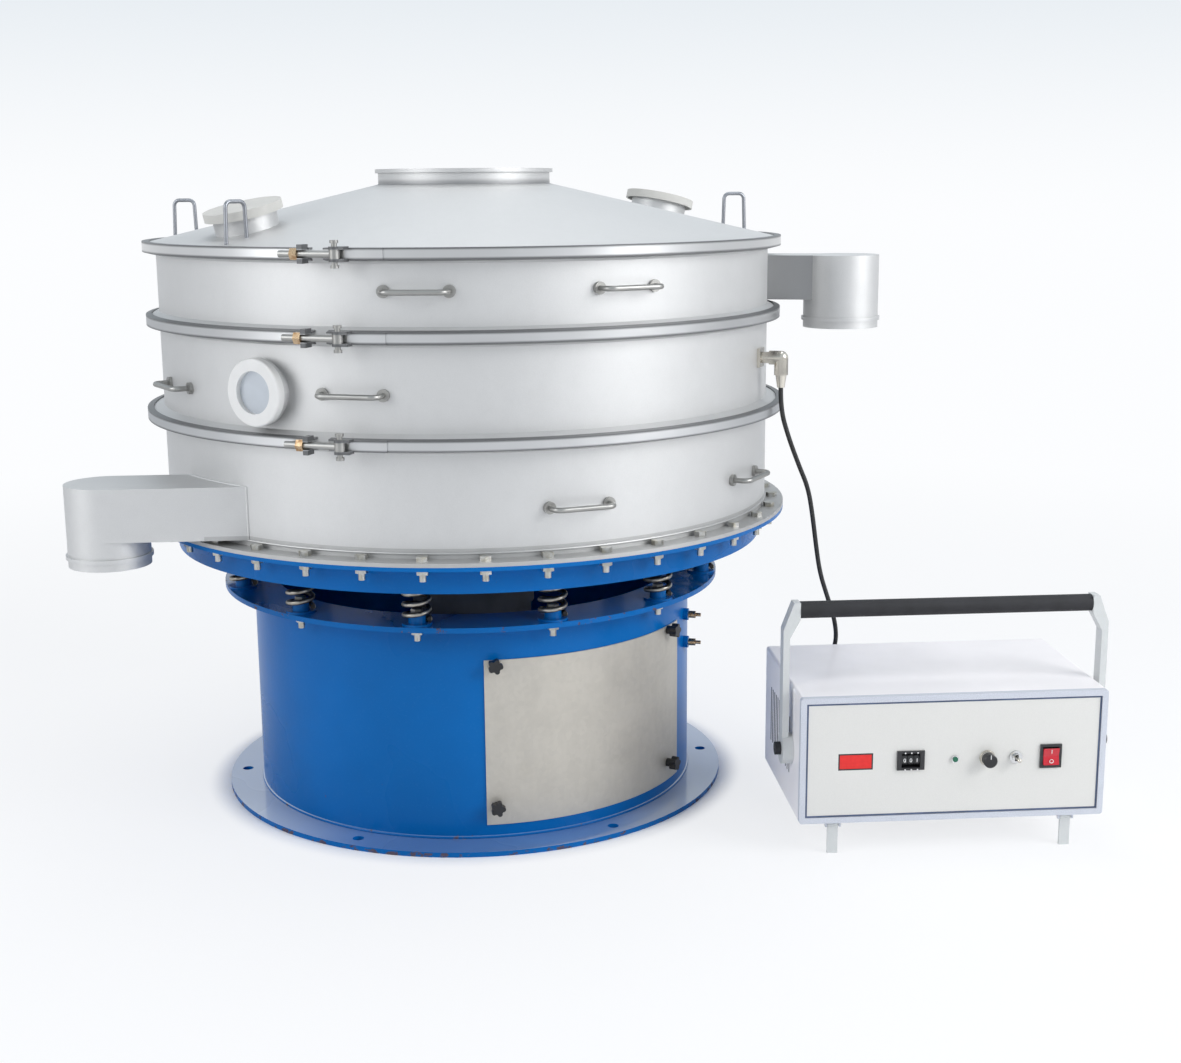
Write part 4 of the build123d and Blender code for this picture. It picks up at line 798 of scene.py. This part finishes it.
class SIEVE_OT_stage(SieveOperator, bpy.types.Operator):
    """Lay the floor and set the lamps and the background."""

    bl_idname = "sieve.stage"
    bl_label = "Stage"

    def make(self, colours, sizes):
        backdrop = tuple(colours.backdrop)
        form = bmesh.new()
        bmesh.ops.create_circle(form, cap_ends=True, segments=96, radius=14)
        floor = bpy.data.objects.new("floor", mesh_of(form, "floor"))
        bpy.context.scene.collection.objects.link(floor)
        paper = Finish("floor_paper")
        soft = paper.noise(1.2, 2)
        paper.set(Base_Color=paper.colours(soft, shade(backdrop, 0.97), shade(backdrop, 0.985)),
                  Roughness=0.7 + 0.1 * soft)
        ray = paper.node("ShaderNodeLightPath", output="Is Camera Ray")
        glow = paper.node("ShaderNodeEmission", None, {"Color": (*backdrop, 1)})
        far = paper.step(paper.radius(), 1.1, 3.6)
        # Painted shadow: within 0.42 to 0.47 m of the axis the floor loses its glow, so it is darker
        # under and round the base
        clear_of_painted_base_shadow = paper.step(paper.radius(), 0.42, 0.47)
        lit = Wire(paper, paper.shader.outputs[0])
        mixed = paper.node("ShaderNodeMixShader", None,
                           {0: ray * clear_of_painted_base_shadow * (0.74 + 0.26 * far), 1: lit, 2: glow})
        paper.tree.links.new(mixed.socket, paper.output.inputs["Surface"])
        floor.data.materials.append(paper.material)
        self.lamp("key_lamp", (3.9, -2.4, 2.6), (0.1, 0, 0.55), 3.2, 155)
        self.lamp("fill_lamp", (-3.8, -2.2, 2.3), (0, 0, 0.5), 3.4, 85)
        self.lamp("top_lamp", (0.2, 0.8, 4.2), (0, 0, 0.4), 3.0, 46)
        self.world(backdrop, tuple(colours.sky))
        bpy.context.scene.view_settings.view_transform = "Standard"

    def lamp(self, name, place, aim, size, power):
        data = bpy.data.lights.new(name, "AREA")
        data.shape = "DISK"
        data.size = size
        data.energy = power
        lamp = bpy.data.objects.new(name, data)
        ahead = Vector(aim) - Vector(place)
        turn = ahead.to_track_quat("-Z", "Y").to_matrix().to_4x4()
        lamp.matrix_world = Matrix.Translation(place) @ turn
        bpy.context.scene.collection.objects.link(lamp)

    def world(self, backdrop, sky):
        """Lights the scene evenly, and shows lens, mirrors and panes the background's gradient."""
        world = bpy.data.worlds.new("pale_room")
        bpy.context.scene.world = world
        world.use_nodes = True
        room = Shading(world.node_tree)
        even = room.node("ShaderNodeBackground", None, {"Color": (0.90, 0.94, 1.0, 1), "Strength": 0.42})
        height = room.parts(room.node("ShaderNodeTexCoord", output="Generated"))[2]
        tint = room.colours(room.step(height, -0.03, 0.22), backdrop, sky)
        shown = room.node("ShaderNodeBackground", None, {"Color": tint})
        seen = room.node("ShaderNodeLightPath", output="Is Camera Ray")
        for kind in ("Is Glossy Ray", "Is Transmission Ray"):
            seen = room.maths("MAXIMUM", seen, room.node("ShaderNodeLightPath", output=kind))
        mixed = room.node("ShaderNodeMixShader", None, {0: seen, 1: even, 2: shown})
        output = room.tree.nodes.new("ShaderNodeOutputWorld")
        room.tree.links.new(mixed.socket, output.inputs["Surface"])


class SIEVE_OT_finishes(SieveOperator, bpy.types.Operator):
    """Give every node of the frame its finish."""

    bl_idname = "sieve.finishes"
    bl_label = "Finishes"

    def make(self, colours, sizes):
        finish_nodes(colours)


class SIEVE_OT_cable(SieveOperator, bpy.types.Operator):
    """Lay the transducer's cable from its plug to the generator."""

    bl_idname = "sieve.cable"
    bl_label = "Cable"

    def make(self, colours, sizes):
        line = smooth_line(CABLE_ROUTE, "cable_route")
        form = bmesh.new()
        tube(form, line, sizes.cable / 2, 16)
        mesh = mesh_of(form, "transducer_cable")
        cable = piece("transducer_cable", mesh, None, "cable", 60)
        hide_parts("ultrasonic_cable")
        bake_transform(cable)


class SIEVE_OT_springs(SieveOperator, bpy.types.Operator):
    """Wind the coil springs between the drum and the table."""

    bl_idname = "sieve.springs"
    bl_label = "Springs"

    def make(self, colours, sizes):
        form = bmesh.new()
        turns = 5.75
        steps = 110
        wire = sizes.spring_wire
        rise = SPRING_HIGH - SPRING_LOW - 2 * wire
        for place in self.places():
            start = Matrix.Translation(place + Vector((sizes.spring_coil, 0, SPRING_LOW + wire)))
            made = bmesh.ops.create_circle(form, segments=10, radius=wire,
                                           matrix=start @ Matrix.Rotation(radians(90), 4, "X"))
            edges = list({e for v in made["verts"] for e in v.link_edges})
            first = list(made["verts"])
            end = bmesh.ops.spin(form, geom=first + edges, cent=place, axis=UP,
                                 dvec=(0, 0, rise / steps), angle=radians(360 * turns), steps=steps)
            bmesh.ops.contextual_create(form, geom=first)
            bmesh.ops.contextual_create(form, geom=[g for g in end["geom_last"]
                                                    if isinstance(g, bmesh.types.BMVert)])
        mesh = mesh_of(form, "coil_springs")
        self.mark(mesh, sizes.spring_coil, wire)
        springs = piece("wound_springs", mesh, None, "spring", 60)
        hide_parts("coil_springs")
        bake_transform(springs)

    def places(self):
        """The springs' axes on the floor, in order round the drum."""
        return [outward(SPRING_TURN + 360 / SPRING_COUNT * n) * SPRING_RING for n in range(SPRING_COUNT)]

    def mark(self, mesh, coil, wire):
        """Keeps how far out on its coil each point lies, for the painted highlight on the coils'
        outside.
        """
        layer = mesh.uv_layers.new(name="coil")
        places = self.places()
        for loop in mesh.loops:
            point = mesh.vertices[loop.vertex_index].co
            flat = Vector((point.x, point.y, 0))
            nearest = min((flat - place).length for place in places)
            layer.data[loop.index].uv = (0, (nearest - coil) / (2 * wire) + 0.5)


class SIEVE_OT_welds(SieveOperator, bpy.types.Operator):
    """Run the weld beads round the neck, the frames, the outlets' ducts and the drum."""

    bl_idname = "sieve.welds"
    bl_label = "Welds"

    def make(self, colours, sizes):
        form = bmesh.new()
        bead_ring(form, NECK_RADIUS, NECK_FOOT, sizes.weld)
        bead_ring(form, SHELL - 0.0003, FRAME_FOOT, sizes.weld)
        for duct in DUCTS:
            tube(form, self.duct_line(*duct), sizes.weld, 8)
        mesh = mesh_of(form, "frame_welds")
        piece("frame_welds", mesh, "vibrating_unit", "blasted")
        form = bmesh.new()
        bead_ring(form, DRUM_RADIUS, DRUM_FOOT, sizes.weld * 1.3)
        bead_ring(form, DRUM_RADIUS, DRUM_TOP, sizes.weld)
        piece("drum_welds", mesh_of(form, "drum_welds"), "base", "enamel")

    def duct_line(self, azimuth, heading, half, low, high):
        """The line where an outlet's duct meets the round frame."""
        centre = outward(azimuth) * DUCT_MOUTH
        along = outward(heading)
        across = Vector((-along.y, along.x, 0))
        steps = 14

        def meeting(n):
            side = centre + across * (2 * n / steps - 1) * half
            reach = side.dot(along)
            return side - along * (reach - sqrt(reach ** 2 - side.length_squared + SHELL ** 2))

        feet = [meeting(n) for n in range(steps + 1)]
        over = [foot + UP * high for foot in feet]
        back = [foot + UP * low for foot in reversed(feet)]
        return [feet[0] + UP * low, *over, *back]


class SIEVE_OT_panel(SieveOperator, bpy.types.Operator):
    """Draw the panel's line and figures, the dial's marks and the case's vents."""

    bl_idname = "sieve.panel"
    bl_label = "Panel marks"

    def make(self, colours, sizes):
        self.outline()
        for n in range(3):
            place = (self.wheel_x(n), WHEEL_FRONT, CONTROL_HEIGHT)
            mesh = lettering("001"[n], 0.0085, place, f"wheel_figure_{n + 1}")
            piece(f"wheel_figure_{n + 1}", mesh, f"wheel_{n + 1}", "ink")
        form = bmesh.new()
        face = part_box("panel_fittings")[0].y
        for n in range(3):
            for side in (-1, 1):
                spot = Vector((self.wheel_x(n), face, CONTROL_HEIGHT + side * 0.0131))
                bmesh.ops.create_uvsphere(form, u_segments=12, v_segments=8, radius=0.0012,
                                          matrix=Matrix.Translation(spot))
        piece("wheel_dots", mesh_of(form, "wheel_dots"), "base", "ink")
        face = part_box("rocker_button")[0].y
        for mark, height in (("I", 0.008), ("O", -0.0075)):
            place = (ROCKER_X, face, CONTROL_HEIGHT + height)
            mesh = lettering(mark, 0.009, place, f"rocker_mark_{mark}")
            piece(f"rocker_mark_{mark}", mesh, "rocker", "ink")
        self.dial_marks()
        self.vents()

    def outline(self):
        """The line round the front panel, made of four thin bars."""
        low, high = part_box("front_panel")
        width, inset, gap, bevel = 0.0026, 0.0004, 0.0005, 0.0001
        near, far = PANEL_FRONT - 0.0006, PANEL_FRONT - 0.0001
        form = bmesh.new()
        for x in (low.x + inset, high.x - inset - width):
            block(form, (x, near, low.z + inset), (x + width, far, high.z - inset), bevel)
        left, right = low.x + width + gap, high.x - width - gap
        for z in (low.z + inset, high.z - inset - width):
            block(form, (left, near, z), (right, far, z + width), bevel)
        piece("panel_outline", mesh_of(form, "panel_outline"), "base", "line")

    def wheel_x(self, n):
        return WHEELS_X + (n - 1) * WHEEL_PITCH

    def dial_marks(self):
        """A bright collar and a pointer line on the power dial."""
        low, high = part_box("power_dial")
        centre = Vector(((low.x + high.x) / 2, 0, (low.z + high.z) / 2))
        half = (high.x - low.x) / 2
        form = bmesh.new()
        place = Matrix.Translation(centre + Vector((0, PANEL_FRONT - 0.0022, 0)))
        bmesh.ops.create_cone(form, cap_ends=True, segments=48, radius1=half + 0.0018,
                              radius2=half + 0.0008, depth=0.0024,
                              matrix=place @ Matrix.Rotation(radians(90), 4, "X"))
        piece("dial_collar", mesh_of(form, "dial_collar"), "dial", "nickel")
        form = bmesh.new()
        block(form, (centre.x - 0.0006, low.y - 0.0003, centre.z + half * 0.35),
              (centre.x + 0.0006, low.y + 0.0006, centre.z + half * 0.95), 0.0002, 2)
        piece("dial_pointer", mesh_of(form, "dial_pointer"), "dial", "ink")

    def vents(self):
        """Ventilation slots in the sides and the back of the case, drawn as thin dark blocks of painted
        shade.
        """
        form = bmesh.new()
        depth, bevel = 0.0003, 0.00015
        count, first, pitch = SIDE_VENTS
        for x in CASE_SIDES:
            for n in range(count):
                y = first + n * pitch
                block(form, (x - depth, y - 0.0022, 0.105), (x + depth, y + 0.0022, 0.195), bevel)
        count, first, pitch = BACK_VENTS
        for n in range(count):
            x = first + n * pitch
            block(form, (x - 0.002, CASE_BACK - depth, 0.10),
                  (x + 0.002, CASE_BACK + depth, 0.18), bevel)
        piece("case_vents", mesh_of(form, "case_vents"), "base", "dark")


class SIEVE_PT_panel(bpy.types.Panel):
    """Lists the steps that build the sieve."""

    bl_idname = "SIEVE_PT_panel"
    bl_label = "Vibrating sieve"
    bl_space_type = "VIEW_3D"
    bl_region_type = "UI"
    bl_category = "Sieve"

    def draw(self, context):
        layout = self.layout
        for step in STEPS:
            layout.operator(step.bl_idname)
        for group in (context.scene.sieve_colours, context.scene.sieve_sizes):
            for key in group.__annotations__:
                layout.prop(group, key)


STEPS = (
    SIEVE_OT_camera,
    SIEVE_OT_finishes,
    SIEVE_OT_cable,
    SIEVE_OT_springs,
    SIEVE_OT_welds,
    SIEVE_OT_panel,
    SIEVE_OT_stage,
)
CLASSES = (SieveColours, SieveSizes, *STEPS, SIEVE_PT_panel)


def register():
    for made in CLASSES:
        bpy.utils.register_class(made)
    bpy.types.Scene.sieve_colours = bpy.props.PointerProperty(type=SieveColours)
    bpy.types.Scene.sieve_sizes = bpy.props.PointerProperty(type=SieveSizes)


def unregister():
    del bpy.types.Scene.sieve_sizes
    del bpy.types.Scene.sieve_colours
    for made in reversed(CLASSES):
        bpy.utils.unregister_class(made)


def main():
    register()
    for step in STEPS:
        group, call = step.bl_idname.split(".")
        getattr(getattr(bpy.ops, group), call)()


if __name__ == "__main__":
    main()
